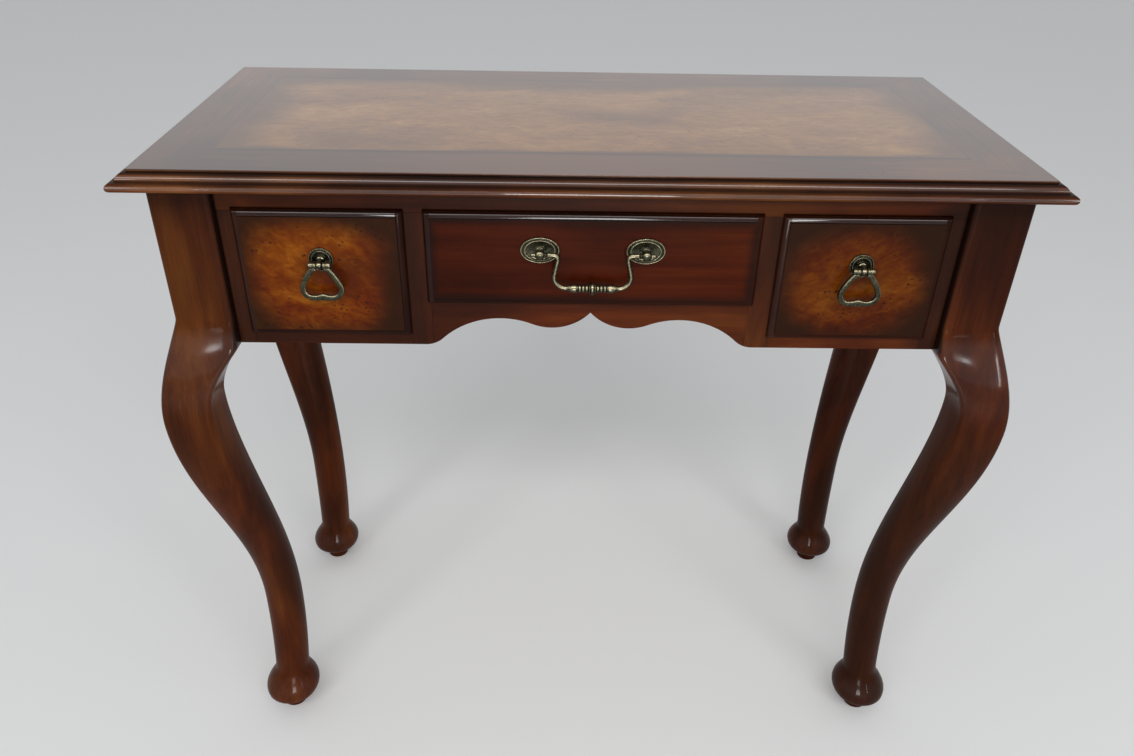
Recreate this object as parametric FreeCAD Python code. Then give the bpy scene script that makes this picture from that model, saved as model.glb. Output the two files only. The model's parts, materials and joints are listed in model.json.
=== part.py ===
import FreeCAD, Part
import math
import os

os.makedirs("parts", exist_ok=True)
Vector = FreeCAD.Vector

# A Queen Anne lowboy.  Millimetres, +Z up, +X to the viewer's right, the front faces -Y.
# The origin is on the floor, midway between the four legs.

# Overall sizes
height = 762.0
case_width = 830.0            # over the outer faces of the leg posts, side to side
case_depth = 350.5            # over the outer faces of the leg posts, front to back
case_height = 170.5           # case's lower edge to the underside of the top

# Top
top_thickness = 18.0
side_overhang = 23.15
front_overhang = 24.65
back_overhang = 12.2
veneer_thickness = 0.9
lipping_width = 28.0          # solid wood round the core, moulded on its outer edge
back_lipping_width = 12.0
flat_inset = 15.5             # outer edge of the moulding to the flat of the top
border_width = 61.0
back_border_width = 51.0
edge_fillet_height = 2.6
edge_fillet_step = 1.0
ovolo_width = 7.0
ovolo_height = 5.6
ovolo_fullness = 0.72         # middle of the ovolo, as a share of its width
ovolo_sink = 0.32             # and as a share of its height
cove_hollow = 0.45
bullnose_radius = 4.25

# Legs
post_width = 59.0
post_corner_radius = 6.0
knee_rise = 30.5              # knee's start, above the case's lower edge
knee_drop = 87.5              # fullest point of the knee, below the case's lower edge
knee_projection = 27.5        # knee past the post's outer face
knee_ease = 0.04              # softness of the knee's upper start
knee_fall = 1.0               # below 1, the face falls away sooner under its fullest point
hollow_drop = 65.5            # fullest point behind the knee, below the case's lower edge
hollow_projection = 31.3      # back of the knee past the post's inner face
hollow_ease = 0.02
hollow_fall = 0.8
round_height = 260.0          # from here down the leg is round
ankle_roundness = 0.97        # corner radius as a share of the half width, where round
ankle_height = 195.0          # where the ankle starts to swing out to the foot
ankle_setback = 17.2          # ankle behind the post's outer face
ankle_inner_setback = 2.6     # ankle past the post's inner face, towards the middle
swing_power = 1.9
swing_foot_height = 10.0
foot_outer_setback = 8.7
foot_inner_setback = -10.0
foot_flare_height = 70.0
foot_radius = 34.5
foot_widest_height = 35.0
sole_radius = 30.0
disc_radius = 15.0
disc_thickness = 24.0         # up to the underside of the pad
shank_section_count = 22
flare_section_count = 7
sole_section_count = 6

# Case
frame_recess = 8.6            # face frame, end and back panels behind the posts' outer faces
frame_thickness = 20.0
end_panel_thickness = 16.0
back_panel_thickness = 12.0
end_stile_width = 17.5
partition_thickness = 16.0
partition_rise = 4.0          # partition's lower edge above the case's lower edge
tenon_length = 14.0
tenon_thickness = 8.0
tenon_shoulder = 4.0
short_tenon = 8.0             # stiles, bottom rails and apron into their neighbours

# Rails and drawer openings
top_rail_height = 27.0
bottom_rail_height = 16.5     # under the side drawers
apron_height = 52.5           # under the centre drawer
side_opening_width = 155.5
inner_stile_width = 24.0

# Scalloped lower edge of the apron, heights above the case's lower edge
scallop_corner_radius = 25.0  # the rounded corner that the scallop starts with
scallop_corner_lap = 8.0      # this corner starts on the stile, this far from the apron
scallop_corner_turn = 44.0    # degrees
arch_height = 30.9
arch_place = 95.0
turn_height = 24.5
turn_place = 58.0
lobe_height = 20.9
lobe_place = 37.0
cusp_height = 38.5

# Drawers
lip_overlap = 3.0             # lip past the edge of its opening
lip_thickness = 7.0
lip_gap = 0.3                 # lip to the face frame, drawer shut
lip_edge = 1.5                # square edge of the lip before the moulding
thumbnail_width = 6.5
thumbnail_rise = 4.3
thumbnail_fullness = 0.74     # rise of the thumbnail's middle, as a share of its whole rise
thumbnail_middle = 0.36       # place of this middle, as a share of its width
front_inset_thickness = 12.0  # part of the front that enters the opening
drawer_side_gap = 1.0
drawer_floor_gap = 0.3
drawer_head_gap = 2.0
drawer_back_gap = 15.6        # rear ends of the sides to the back panel
drawer_side_thickness = 11.0
drawer_bottom_thickness = 5.0
drawer_bottom_rise = 8.0
groove_depth = 5.0
back_inset = 8.0
back_housing = 4.0
dovetail_length = 9.0
dovetail_spread = 1.6
tail_margin = 0.22            # share of the pitch above and below each tail
front_veneer_thickness = 0.8

# Runners, guides, kickers, cleats
runner_thickness = 15.0
runner_width = 18.0
end_runner_lap = 13.5         # end runner under the drawer, past the opening's edge
guide_height = 20.0
cleat_width = 20.0
cleat_height = 20.0
cleat_end_gap = 15.0
screw_radius = 2.0
screw_head_radius = 4.0
screw_head_height = 2.4
screw_bite = 10.0             # into the core of the top
screw_end_margin = 20.0

# Pulls
stud_radius = 2.5
stud_bore_clearance = 0.1
nut_across_flats = 9.0
nut_thickness = 4.0
stud_past_nut = 1.5
hinge_clearance = 0.05
knuckle_gap = 0.3
pull_height_above_lower_lip = 84.0
rosette_radius = 12.0
rosette_thickness = 2.6
plate_rim_width = 1.4
plate_rim_thickness = 2.0
plate_channel_width = 1.0
plate_channel_thickness = 1.2
plate_roll_width = 1.5
plate_dish_thickness = 0.9
hub_width = 1.8
hub_thickness = 1.8
collar_width = 1.6
collar_thickness = 2.0
drop_pivot_projection = 10.0
drop_pivot_drop = 2.0         # pivot below the middle of the backplate
tongue_width = 5.5
tongue_radius = 4.0
knuckle_radius = 3.4
drop_pin_radius = 1.4
knuckle_width = 7.8
stirrup_thickness = 4.2
stirrup_band = 5.4
stirrup_drop = 37.0
stirrup_corner_place = 9.1    # middle of the corner's arc, from the middle of the bail
stirrup_corner_radius = 9.4   # of the middle line of the band
stirrup_corner_turn = 112.0
stirrup_side_radius = 61.8
stirrup_side_turn = 18.0
stirrup_shoulder_place = 8.6  # outer edge of the band at the knuckle
stirrup_shoulder_drop = 0.6
stirrup_crotch_place = 4.4    # inner edge of the band at the knuckle
stirrup_crotch_drop = 2.4
stirrup_cusp_place = 7.0      # foot of the cusp, from the middle
stirrup_cusp = 1.5
centre_pull_above_lower_lip = 60.4
bail_spacing = 101.6          # eye to eye, a stock drilling
oval_half_width = 19.0
oval_half_height = 13.25
bail_pivot_projection = 12.0
eye_radius = 4.8              # round head of the post, bored across for the bail
eye_length = 8.4
eye_dome = 2.2
bail_pin_radius = 1.8
bail_ball_radius = 2.2
bail_neck_radius = 2.4
neck_lap = 2.0                # neck inside the end of the bar
bail_drop = 34.5
neck_bend_radius = 4.5
neck_bend_place = 38.0        # centre of the upper bend, from the middle of the bail
bar_bend_radius = 12.0
bar_bend_place = 25.0         # centre of the lower bend, from the middle of the bail
barrel_radius = 4.6
barrel_middle_radius = 4.4
barrel_end = 14.0
bead_radius = 4.1
bead_count = 3
bead_groove_radius = 2.7
centre_bead_radius = 6.5
centre_bead_half_width = 3.6

# Places that follow from the sizes
top_underside = height - top_thickness
case_bottom = top_underside - case_height
half_case = case_width / 2
half_depth = case_depth / 2
half_top = half_case + side_overhang
top_front = -half_depth - front_overhang
top_back = half_depth + back_overhang
post_inner_x = half_case - post_width
post_inner_y = half_depth - post_width
frame_front = -half_depth + frame_recess
frame_back = frame_front + frame_thickness
back_panel_back = half_depth - frame_recess
back_panel_front = back_panel_back - back_panel_thickness
end_panel_outer = half_case - frame_recess
end_panel_inner = end_panel_outer - end_panel_thickness
opening_head = top_underside - top_rail_height
side_opening_floor = case_bottom + bottom_rail_height
centre_opening_floor = case_bottom + apron_height
side_opening_outer = post_inner_x - end_stile_width
side_opening_inner = side_opening_outer - side_opening_width
centre_half_opening = side_opening_inner - inner_stile_width
side_centre = (side_opening_outer + side_opening_inner) / 2
partition_middle = side_opening_inner - inner_stile_width / 2
partition_inner = partition_middle - partition_thickness / 2
partition_outer = partition_middle + partition_thickness / 2
lip_back = frame_front - lip_gap
drawer_face = lip_back - lip_thickness
inset_back = lip_back + front_inset_thickness
drawer_rear = back_panel_front - drawer_back_gap
seam_turn = math.asin(scallop_corner_lap / scallop_corner_radius)


def box(x0, x1, y0, y1, z0, z1):
    """A box between two values on each axis."""
    corner = Vector(min(x0, x1), min(y0, y1), min(z0, z1))
    return Part.makeBox(abs(x1 - x0), abs(y1 - y0), abs(z1 - z0), corner)


def prism(points, direction):
    """A flat polygon pushed along a direction."""
    outline = Part.makePolygon(points + points[:1])
    return Part.Face(outline).extrude(direction)


def cylinder(radius, start, end):
    """A round rod from one point to another."""
    axis = end.sub(start)
    return Part.makeCylinder(radius, axis.Length, start, axis)


def arc(start, middle, end):
    return Part.Arc(start, middle, end).toShape()


def line(start, end):
    return Part.LineSegment(start, end).toShape()


def mirror_x(shape):
    return shape.mirror(Vector(0, 0, 0), Vector(1, 0, 0))


def mirror_y(shape):
    return shape.mirror(Vector(0, 0, 0), Vector(0, 1, 0))


def save(name, shape):
    """Write one node, a single solid or a group of separate solids."""
    solids = shape.Solids
    whole = solids[0] if len(solids) == 1 else Part.makeCompound(solids)
    if not whole.isValid():
        raise ValueError(name + " is not a valid solid")
    whole.exportStep("parts/" + name + ".step")


def save_pair(name, right_hand_shape):
    """Write a right-hand piece and its mirror image for the left."""
    save(name + "_right", right_hand_shape)
    save(name + "_left", mirror_x(right_hand_shape))


# ---------------------------------------------------------------- top

def edge_moulding_face():
    """Section of the solid edge: flat, fillet, ovolo, small cove and bullnose.

    X is the distance past the finished edge (negative inboard), Z is the height.
    """
    flat = height - veneer_thickness
    ledge = height - edge_fillet_height
    ovolo_start = Vector(-flat_inset + edge_fillet_step, 0, ledge)
    ovolo_end = Vector(ovolo_start.x + ovolo_width, 0, ledge - ovolo_height)
    ovolo_middle = Vector(ovolo_start.x + ovolo_width * ovolo_fullness, 0,
                          ledge - ovolo_height * ovolo_sink)
    nose_top = Vector(-bullnose_radius, 0, top_underside + 2 * bullnose_radius)
    nose_tip = Vector(0, 0, top_underside + bullnose_radius)
    nose_base = Vector(-bullnose_radius, 0, top_underside)
    cove_middle = (ovolo_end + nose_top) / 2 - Vector(cove_hollow, 0, cove_hollow)
    inner_base = Vector(-lipping_width, 0, top_underside)
    inner_top = Vector(-lipping_width, 0, flat)
    flat_edge = Vector(-flat_inset, 0, flat)
    fillet_foot = Vector(-flat_inset, 0, ledge)
    edges = [
        line(inner_base, inner_top),
        line(inner_top, flat_edge),
        line(flat_edge, fillet_foot),
        line(fillet_foot, ovolo_start),
        arc(ovolo_start, ovolo_middle, ovolo_end),
        arc(ovolo_end, cove_middle, nose_top),
        arc(nose_top, nose_tip, nose_base),
        line(nose_base, inner_base),
    ]
    return Part.Face(Part.Wire(edges))


def right_edge():
    """Moulded lipping of the right end, mitred at its front corner."""
    section = edge_moulding_face()
    section.translate(Vector(half_top, top_front, 0))
    length = section.extrude(Vector(0, top_back - top_front, 0))
    plan = [
        Vector(half_top, top_front, 0),
        Vector(half_top, top_back, 0),
        Vector(half_top - lipping_width, top_back, 0),
        Vector(half_top - lipping_width, top_front + lipping_width, 0),
    ]
    return length.common(prism(plan, Vector(0, 0, 2 * height)))


def front_edge():
    """Moulded lipping of the front, mitred at both ends."""
    section = edge_moulding_face()
    section.rotate(Vector(0, 0, 0), Vector(0, 0, 1), -90)
    section.translate(Vector(-half_top, top_front, 0))
    length = section.extrude(Vector(2 * half_top, 0, 0))
    plan = [
        Vector(-half_top, top_front, 0),
        Vector(half_top, top_front, 0),
        Vector(half_top - lipping_width, top_front + lipping_width, 0),
        Vector(-half_top + lipping_width, top_front + lipping_width, 0),
    ]
    return length.common(prism(plan, Vector(0, 0, 2 * height)))


def border_veneer():
    """Four mitred strips of dark veneer round the top."""
    base = height - veneer_thickness
    outer_x = half_top - flat_inset
    inner_x = outer_x - border_width
    outer_front = top_front + flat_inset
    inner_front = outer_front + border_width
    inner_back = top_back - back_border_width
    thickness = Vector(0, 0, veneer_thickness)
    front = prism([
        Vector(-outer_x, outer_front, base),
        Vector(outer_x, outer_front, base),
        Vector(inner_x, inner_front, base),
        Vector(-inner_x, inner_front, base),
    ], thickness)
    back = prism([
        Vector(-outer_x, top_back, base),
        Vector(outer_x, top_back, base),
        Vector(inner_x, inner_back, base),
        Vector(-inner_x, inner_back, base),
    ], thickness)
    right = prism([
        Vector(outer_x, outer_front, base),
        Vector(outer_x, top_back, base),
        Vector(inner_x, inner_back, base),
        Vector(inner_x, inner_front, base),
    ], thickness)
    return Part.makeCompound([front, back, right, mirror_x(right)])


def burl_veneer():
    """The figured field inside the border."""
    half_length = half_top - flat_inset - border_width
    front = top_front + flat_inset + border_width
    back = top_back - back_border_width
    return box(-half_length, half_length, front, back, height - veneer_thickness, height)


def top_core():
    """Core board under the veneers, inside the lippings, with pilot holes for the screws."""
    half_length = half_top - lipping_width
    core = box(-half_length, half_length, top_front + lipping_width, top_back - back_lipping_width,
               top_underside, height - veneer_thickness)
    return core.cut(screw_shanks())


def back_edge():
    """Plain square lipping along the back."""
    half_length = half_top - lipping_width
    return box(-half_length, half_length, top_back - back_lipping_width, top_back,
               top_underside, height - veneer_thickness)


# ---------------------------------------------------------------- legs

def eased(share, softness):
    """0 to 1 with a soft start, straight after it."""
    top = math.sqrt(1 + softness * softness) - softness
    return (math.sqrt(share * share + softness * softness) - softness) / top


def leg_curve(z, start, full, projection, softness, fall, setback, foot_setback):
    """Distance of one face of the leg past the post's face at a height."""
    if z >= start:
        return 0.0
    if z >= full:
        return projection * math.sin(math.pi / 2 * eased((start - z) / (start - full), softness))
    if z >= ankle_height:
        share = ((full - z) / (full - ankle_height)) ** fall
        return projection - (projection + setback) * (1 - math.cos(math.pi * share)) / 2
    swing = min((ankle_height - z) / (ankle_height - swing_foot_height), 1.0) ** swing_power
    return -setback + (setback - foot_setback) * swing


def leg_outer(z):
    """Outer face of the leg, past the post's outer face."""
    return leg_curve(z, case_bottom + knee_rise, case_bottom - knee_drop, knee_projection,
                     knee_ease, knee_fall, ankle_setback, foot_outer_setback)


def leg_inner(z):
    """Inner face of the leg, measured outward from the post's inner face."""
    return leg_curve(z, case_bottom, case_bottom - hollow_drop, hollow_projection,
                     hollow_ease, hollow_fall, ankle_inner_setback, foot_inner_setback)


def smooth(share):
    """0 to 1 with a soft start and a soft end."""
    held = min(max(share, 0.0), 1.0)
    return held * held * (3 - 2 * held)


def leg_half_width(z):
    """Half the width of the leg: between its faces, then the flare of the pad, then its sole."""
    between_faces = (post_width + leg_outer(z) - leg_inner(z)) / 2
    if z >= foot_widest_height:
        flare = smooth((foot_flare_height - z) / (foot_flare_height - foot_widest_height))
        return between_faces + (foot_radius - between_faces) * flare
    drop = (foot_widest_height - z) / (foot_widest_height - disc_thickness)
    return sole_radius + (foot_radius - sole_radius) * math.sqrt(max(1 - drop * drop, 0.0))


def leg_section(z):
    """Rounded square across the leg at a height, for a leg whose outward sides are +X and -Y."""
    half = leg_half_width(z)
    shift = (leg_outer(z) + leg_inner(z)) / 2
    middle_x = half_case - post_width / 2 + shift
    middle_y = -half_depth + post_width / 2 - shift
    knee_start = case_bottom + knee_rise
    share = smooth((knee_start - z) / (knee_start - round_height))
    square = post_corner_radius / (post_width / 2)
    radius = half * (square + (ankle_roundness - square) * share)
    flat = half - radius
    diagonal = radius * math.sqrt(0.5)
    edges = []
    for turn in range(4):
        angle = math.pi / 2 * turn
        across = Vector(math.cos(angle), math.sin(angle), 0)
        along = Vector(-math.sin(angle), math.cos(angle), 0)
        middle = Vector(middle_x, middle_y, z)
        low = middle + across * half - along * flat
        high = middle + across * half + along * flat
        turned = middle + across * flat + along * half
        bend = middle + across * (flat + diagonal) + along * (flat + diagonal)
        edges.append(line(low, high))
        edges.append(arc(high, bend, turned))
    return Part.Wire(edges)


def leg_disc():
    """Small turned disc under the pad, that stands on the floor."""
    shift = -(foot_outer_setback + foot_inner_setback) / 2
    base = Vector(half_case - post_width / 2 + shift, -half_depth + post_width / 2 - shift, 0)
    return cylinder(disc_radius, base, base + Vector(0, 0, disc_thickness))


def spread(first, last, count):
    """Evenly spaced values after the first, up to and with the last."""
    return [first + (last - first) * (step + 1) / count for step in range(count)]


def leg():
    """One leg for the front right corner: post, cabriole stretch, pad foot and disc."""
    knee_start = case_bottom + knee_rise
    post = Part.Face(leg_section(knee_start)).extrude(Vector(0, 0, top_underside - knee_start))
    heights = [knee_start] + spread(knee_start, foot_flare_height, shank_section_count)
    heights += spread(foot_flare_height, foot_widest_height, flare_section_count)
    sole = foot_widest_height - disc_thickness
    for angle in spread(0, math.pi / 2, sole_section_count):
        heights.append(foot_widest_height - sole * math.sin(angle))
    cabriole = Part.makeLoft([leg_section(z) for z in heights], True, False)
    whole = post.fuse([cabriole, leg_disc()]).removeSplitter()
    # the faces that the rails and panels meet are planed flat
    beside = box(post_inner_x - post_width, post_inner_x, -half_case, half_case, case_bottom, top_underside)
    behind = box(0, half_case + knee_projection, -post_inner_y, 0, case_bottom, top_underside)
    return whole.cut([beside, behind])


def rail_tenon():
    """Tenon of the top rail in the front right post."""
    middle = (frame_front + frame_back) / 2
    return box(post_inner_x, post_inner_x + tenon_length,
               middle - tenon_thickness / 2, middle + tenon_thickness / 2,
               opening_head + tenon_shoulder, top_underside - tenon_shoulder)


def end_panel_tenon():
    """Tenon of the right end panel in the front post."""
    middle = (end_panel_outer + end_panel_inner) / 2
    return box(middle - tenon_thickness / 2, middle + tenon_thickness / 2,
               -post_inner_y - tenon_length, -post_inner_y,
               case_bottom + tenon_shoulder, top_underside - tenon_shoulder)


def back_panel_tenon():
    """Tongue of the back panel in the rear right post."""
    middle = (back_panel_front + back_panel_back) / 2
    return box(post_inner_x, post_inner_x + tenon_length,
               middle - tenon_thickness / 2, middle + tenon_thickness / 2,
               case_bottom + tenon_shoulder, top_underside - tenon_shoulder)


# ---------------------------------------------------------------- case

def top_rail():
    """Rail under the top with a tenon in each front post and mortises for the stiles."""
    rail = box(-post_inner_x, post_inner_x, frame_front, frame_back, opening_head, top_underside)
    tenon = rail_tenon()
    rail = rail.fuse([tenon, mirror_x(tenon)])
    stile = stile_tenon()
    return rail.cut([stile, mirror_x(stile)])


def stile_tenon():
    """Tenon at the head of the right inner stile."""
    middle = (frame_front + frame_back) / 2
    return box(side_opening_inner - tenon_shoulder, centre_half_opening + tenon_shoulder,
               middle - tenon_thickness / 2, middle + tenon_thickness / 2,
               opening_head, opening_head + short_tenon)


def bottom_rail_tenon(x_shoulder, direction):
    """Short tenon at one end of the right bottom rail."""
    middle = (frame_front + frame_back) / 2
    return box(x_shoulder, x_shoulder + direction * short_tenon,
               middle - tenon_thickness / 2, middle + tenon_thickness / 2,
               case_bottom + tenon_shoulder, side_opening_floor - tenon_shoulder)


def scallop_corner(turn):
    """Point on the scallop's rounded right-hand corner, after an angle of its turn."""
    start = centre_half_opening + scallop_corner_lap
    return Vector(start - scallop_corner_radius * math.sin(turn), frame_front,
                  case_bottom + scallop_corner_radius * (1 - math.cos(turn)))


def scallop_corner_waste():
    """What the scallop's corner takes off the foot of the right inner stile."""
    start = scallop_corner(0)
    end = scallop_corner(seam_turn)
    foot = Vector(end.x, frame_front, case_bottom)
    edges = [arc(start, scallop_corner(seam_turn / 2), end), line(end, foot), line(foot, start)]
    return Part.Face(Part.Wire(edges)).extrude(Vector(0, frame_thickness, 0))


def apron_tenon():
    """Short tenon at the right end of the apron."""
    middle = (frame_front + frame_back) / 2
    return box(centre_half_opening, centre_half_opening + short_tenon,
               middle - tenon_thickness / 2, middle + tenon_thickness / 2,
               scallop_corner(seam_turn).z + tenon_shoulder, centre_opening_floor - tenon_shoulder)


def inner_stile():
    """Right inner stile, from the top rail to the case's lower edge."""
    stile = box(centre_half_opening, side_opening_inner, frame_front, frame_back, case_bottom, opening_head)
    stile = stile.fuse(stile_tenon())
    return stile.cut([apron_tenon(), bottom_rail_tenon(side_opening_inner, -1), scallop_corner_waste()])


def end_stile():
    """Right end stile, glued to the post."""
    stile = box(side_opening_outer, post_inner_x, frame_front, frame_back, case_bottom, opening_head)
    return stile.cut(bottom_rail_tenon(side_opening_outer, 1))


def bottom_rail():
    """Rail under the right side drawer."""
    rail = box(side_opening_inner, side_opening_outer, frame_front, frame_back,
               case_bottom, side_opening_floor)
    return rail.fuse([bottom_rail_tenon(side_opening_inner, -1), bottom_rail_tenon(side_opening_outer, 1)])


def apron():
    """Scalloped apron: from each end a rounded corner, an arch and a lobe, then a cusp in the middle."""
    corner_end = math.radians(scallop_corner_turn)
    end = scallop_corner(seam_turn)
    bend = scallop_corner((seam_turn + corner_end) / 2)
    arch_start = scallop_corner(corner_end)
    head = Vector(centre_half_opening, frame_front, centre_opening_floor)

    def at(x, rise):
        return Vector(x, frame_front, case_bottom + rise)

    def across(point):
        return Vector(-point.x, point.y, point.z)

    arch = at(arch_place, arch_height)
    turn = at(turn_place, turn_height)
    lobe = at(lobe_place, lobe_height)
    cusp = at(0, cusp_height)
    edges = [line(across(head), head)]
    for place in (Vector, across):
        edges += [
            line(place(head), place(end)),
            arc(place(end), place(bend), place(arch_start)),
            arc(place(arch_start), place(arch), place(turn)),
            arc(place(turn), place(lobe), cusp),
        ]
    outline = Part.Wire(Part.sortEdges(edges)[0])
    board = Part.Face(outline).extrude(Vector(0, frame_thickness, 0))
    tenon = apron_tenon()
    return board.fuse([tenon, mirror_x(tenon)])


def end_panel():
    """Right end panel between the front and rear posts."""
    panel = box(end_panel_inner, end_panel_outer, -post_inner_y, post_inner_y, case_bottom, top_underside)
    tenon = end_panel_tenon()
    return panel.fuse([tenon, mirror_y(tenon)])


def back_panel():
    """Back panel between the rear posts."""
    panel = box(-post_inner_x, post_inner_x, back_panel_front, back_panel_back, case_bottom, top_underside)
    tongue = back_panel_tenon()
    return panel.fuse([tongue, mirror_x(tongue)])


def partition():
    """Right partition between the centre and side drawers."""
    return box(partition_inner, partition_outer, frame_back, back_panel_front,
               case_bottom + partition_rise, top_underside)


def drawer_runners():
    """Six runners: two under each drawer, their tops level with the openings' floors."""
    side_low = side_opening_floor - runner_thickness
    centre_low = centre_opening_floor - runner_thickness
    on_partition = box(partition_outer, partition_outer + runner_width, frame_back, back_panel_front,
                       side_low, side_opening_floor)
    at_end = box(side_opening_outer - end_runner_lap, post_inner_x, frame_back, back_panel_front,
                 side_low, side_opening_floor)
    to_end_panel = box(post_inner_x, end_panel_inner, -post_inner_y, post_inner_y,
                       side_low, side_opening_floor)
    at_end = at_end.fuse(to_end_panel).removeSplitter()
    in_centre = box(partition_inner - runner_width, partition_inner, frame_back, back_panel_front,
                    centre_low, centre_opening_floor)
    right = [on_partition, at_end, in_centre]
    return Part.makeCompound(right + [mirror_x(runner) for runner in right])


def drawer_guides():
    """Strips on the end runners that keep the side drawers straight."""
    guide = box(side_opening_outer, post_inner_x, frame_back, back_panel_front,
                side_opening_floor, side_opening_floor + guide_height)
    return Part.makeCompound([guide, mirror_x(guide)])


def kickers():
    """Strips under the top that keep an open drawer from tipping."""
    starts = [partition_inner - runner_width, partition_outer, side_opening_outer - runner_width]
    right = [box(start, start + runner_width, frame_back, back_panel_front, opening_head, top_underside)
             for start in starts]
    return Part.makeCompound(right + [mirror_x(kicker) for kicker in right])


def screw_places():
    """Middle of each screw that holds the top, on the right-hand cleat."""
    end = post_inner_y - cleat_end_gap - screw_end_margin
    x = end_panel_inner - cleat_width / 2
    return [Vector(x, y, 0) for y in (-end, 0, end)]


def screw_shanks():
    """Shanks of all the screws, as the holes they sit in."""
    low = Vector(0, 0, top_underside - cleat_height)
    tip = Vector(0, 0, top_underside + screw_bite)
    right = [cylinder(screw_radius, place + low, place + tip) for place in screw_places()]
    return Part.makeCompound(right + [mirror_x(shank) for shank in right])


def top_screws():
    """Six screws up through the cleats into the top's core."""
    head_top = top_underside - cleat_height
    right = []
    for place in screw_places():
        head = cylinder(screw_head_radius, place + Vector(0, 0, head_top - screw_head_height),
                        place + Vector(0, 0, head_top))
        shank = cylinder(screw_radius, place + Vector(0, 0, head_top),
                         place + Vector(0, 0, top_underside + screw_bite))
        right.append(head.fuse(shank))
    return Part.makeCompound(right + [mirror_x(screw) for screw in right])


def top_cleats():
    """Cleats on the end panels that carry the top's screws."""
    half_length = post_inner_y - cleat_end_gap
    cleat = box(end_panel_inner - cleat_width, end_panel_inner, -half_length, half_length,
                top_underside - cleat_height, top_underside)
    return Part.makeCompound([cleat, mirror_x(cleat)]).cut(screw_shanks())


# ---------------------------------------------------------------- drawers

def moulded_section(span, field):
    """Thumbnail-edged section of a front: X runs across the span, Y is the depth out of the lip."""
    edge = Vector(0, -lip_edge, 0)
    moulding_end = Vector(thumbnail_width, -lip_edge - thumbnail_rise, 0)
    bulge = Vector(thumbnail_width * thumbnail_middle, -lip_edge - thumbnail_rise * thumbnail_fullness, 0)

    def across(point):
        return Vector(span - point.x, point.y, 0)

    field_start = Vector(thumbnail_width, -field, 0)
    edges = [
        line(Vector(0, 0, 0), edge),
        arc(edge, bulge, moulding_end),
        line(moulding_end, field_start),
        line(field_start, across(field_start)),
        line(across(field_start), across(moulding_end)),
        arc(across(moulding_end), across(bulge), across(edge)),
        line(across(edge), Vector(span, 0, 0)),
        line(Vector(span, 0, 0), Vector(0, 0, 0)),
    ]
    return Part.Face(Part.Wire(edges))


def moulded_lip(width, tall, field):
    """Board moulded on all four edges, its back on Y = 0 and its lower left corner at the origin."""
    upright = moulded_section(width, field).extrude(Vector(0, 0, tall))
    section = moulded_section(tall, field)
    section.rotate(Vector(0, 0, 0), Vector(0, 1, 0), -90)
    level = section.extrude(Vector(width, 0, 0))
    return upright.common(level)


def stud_bores(pull_places):
    """Bores through a drawer front for the studs of its pull."""
    radius = stud_radius + stud_bore_clearance
    return [cylinder(radius, Vector(x, drawer_face, z), Vector(x, inset_back, z)) for x, z in pull_places]


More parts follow.
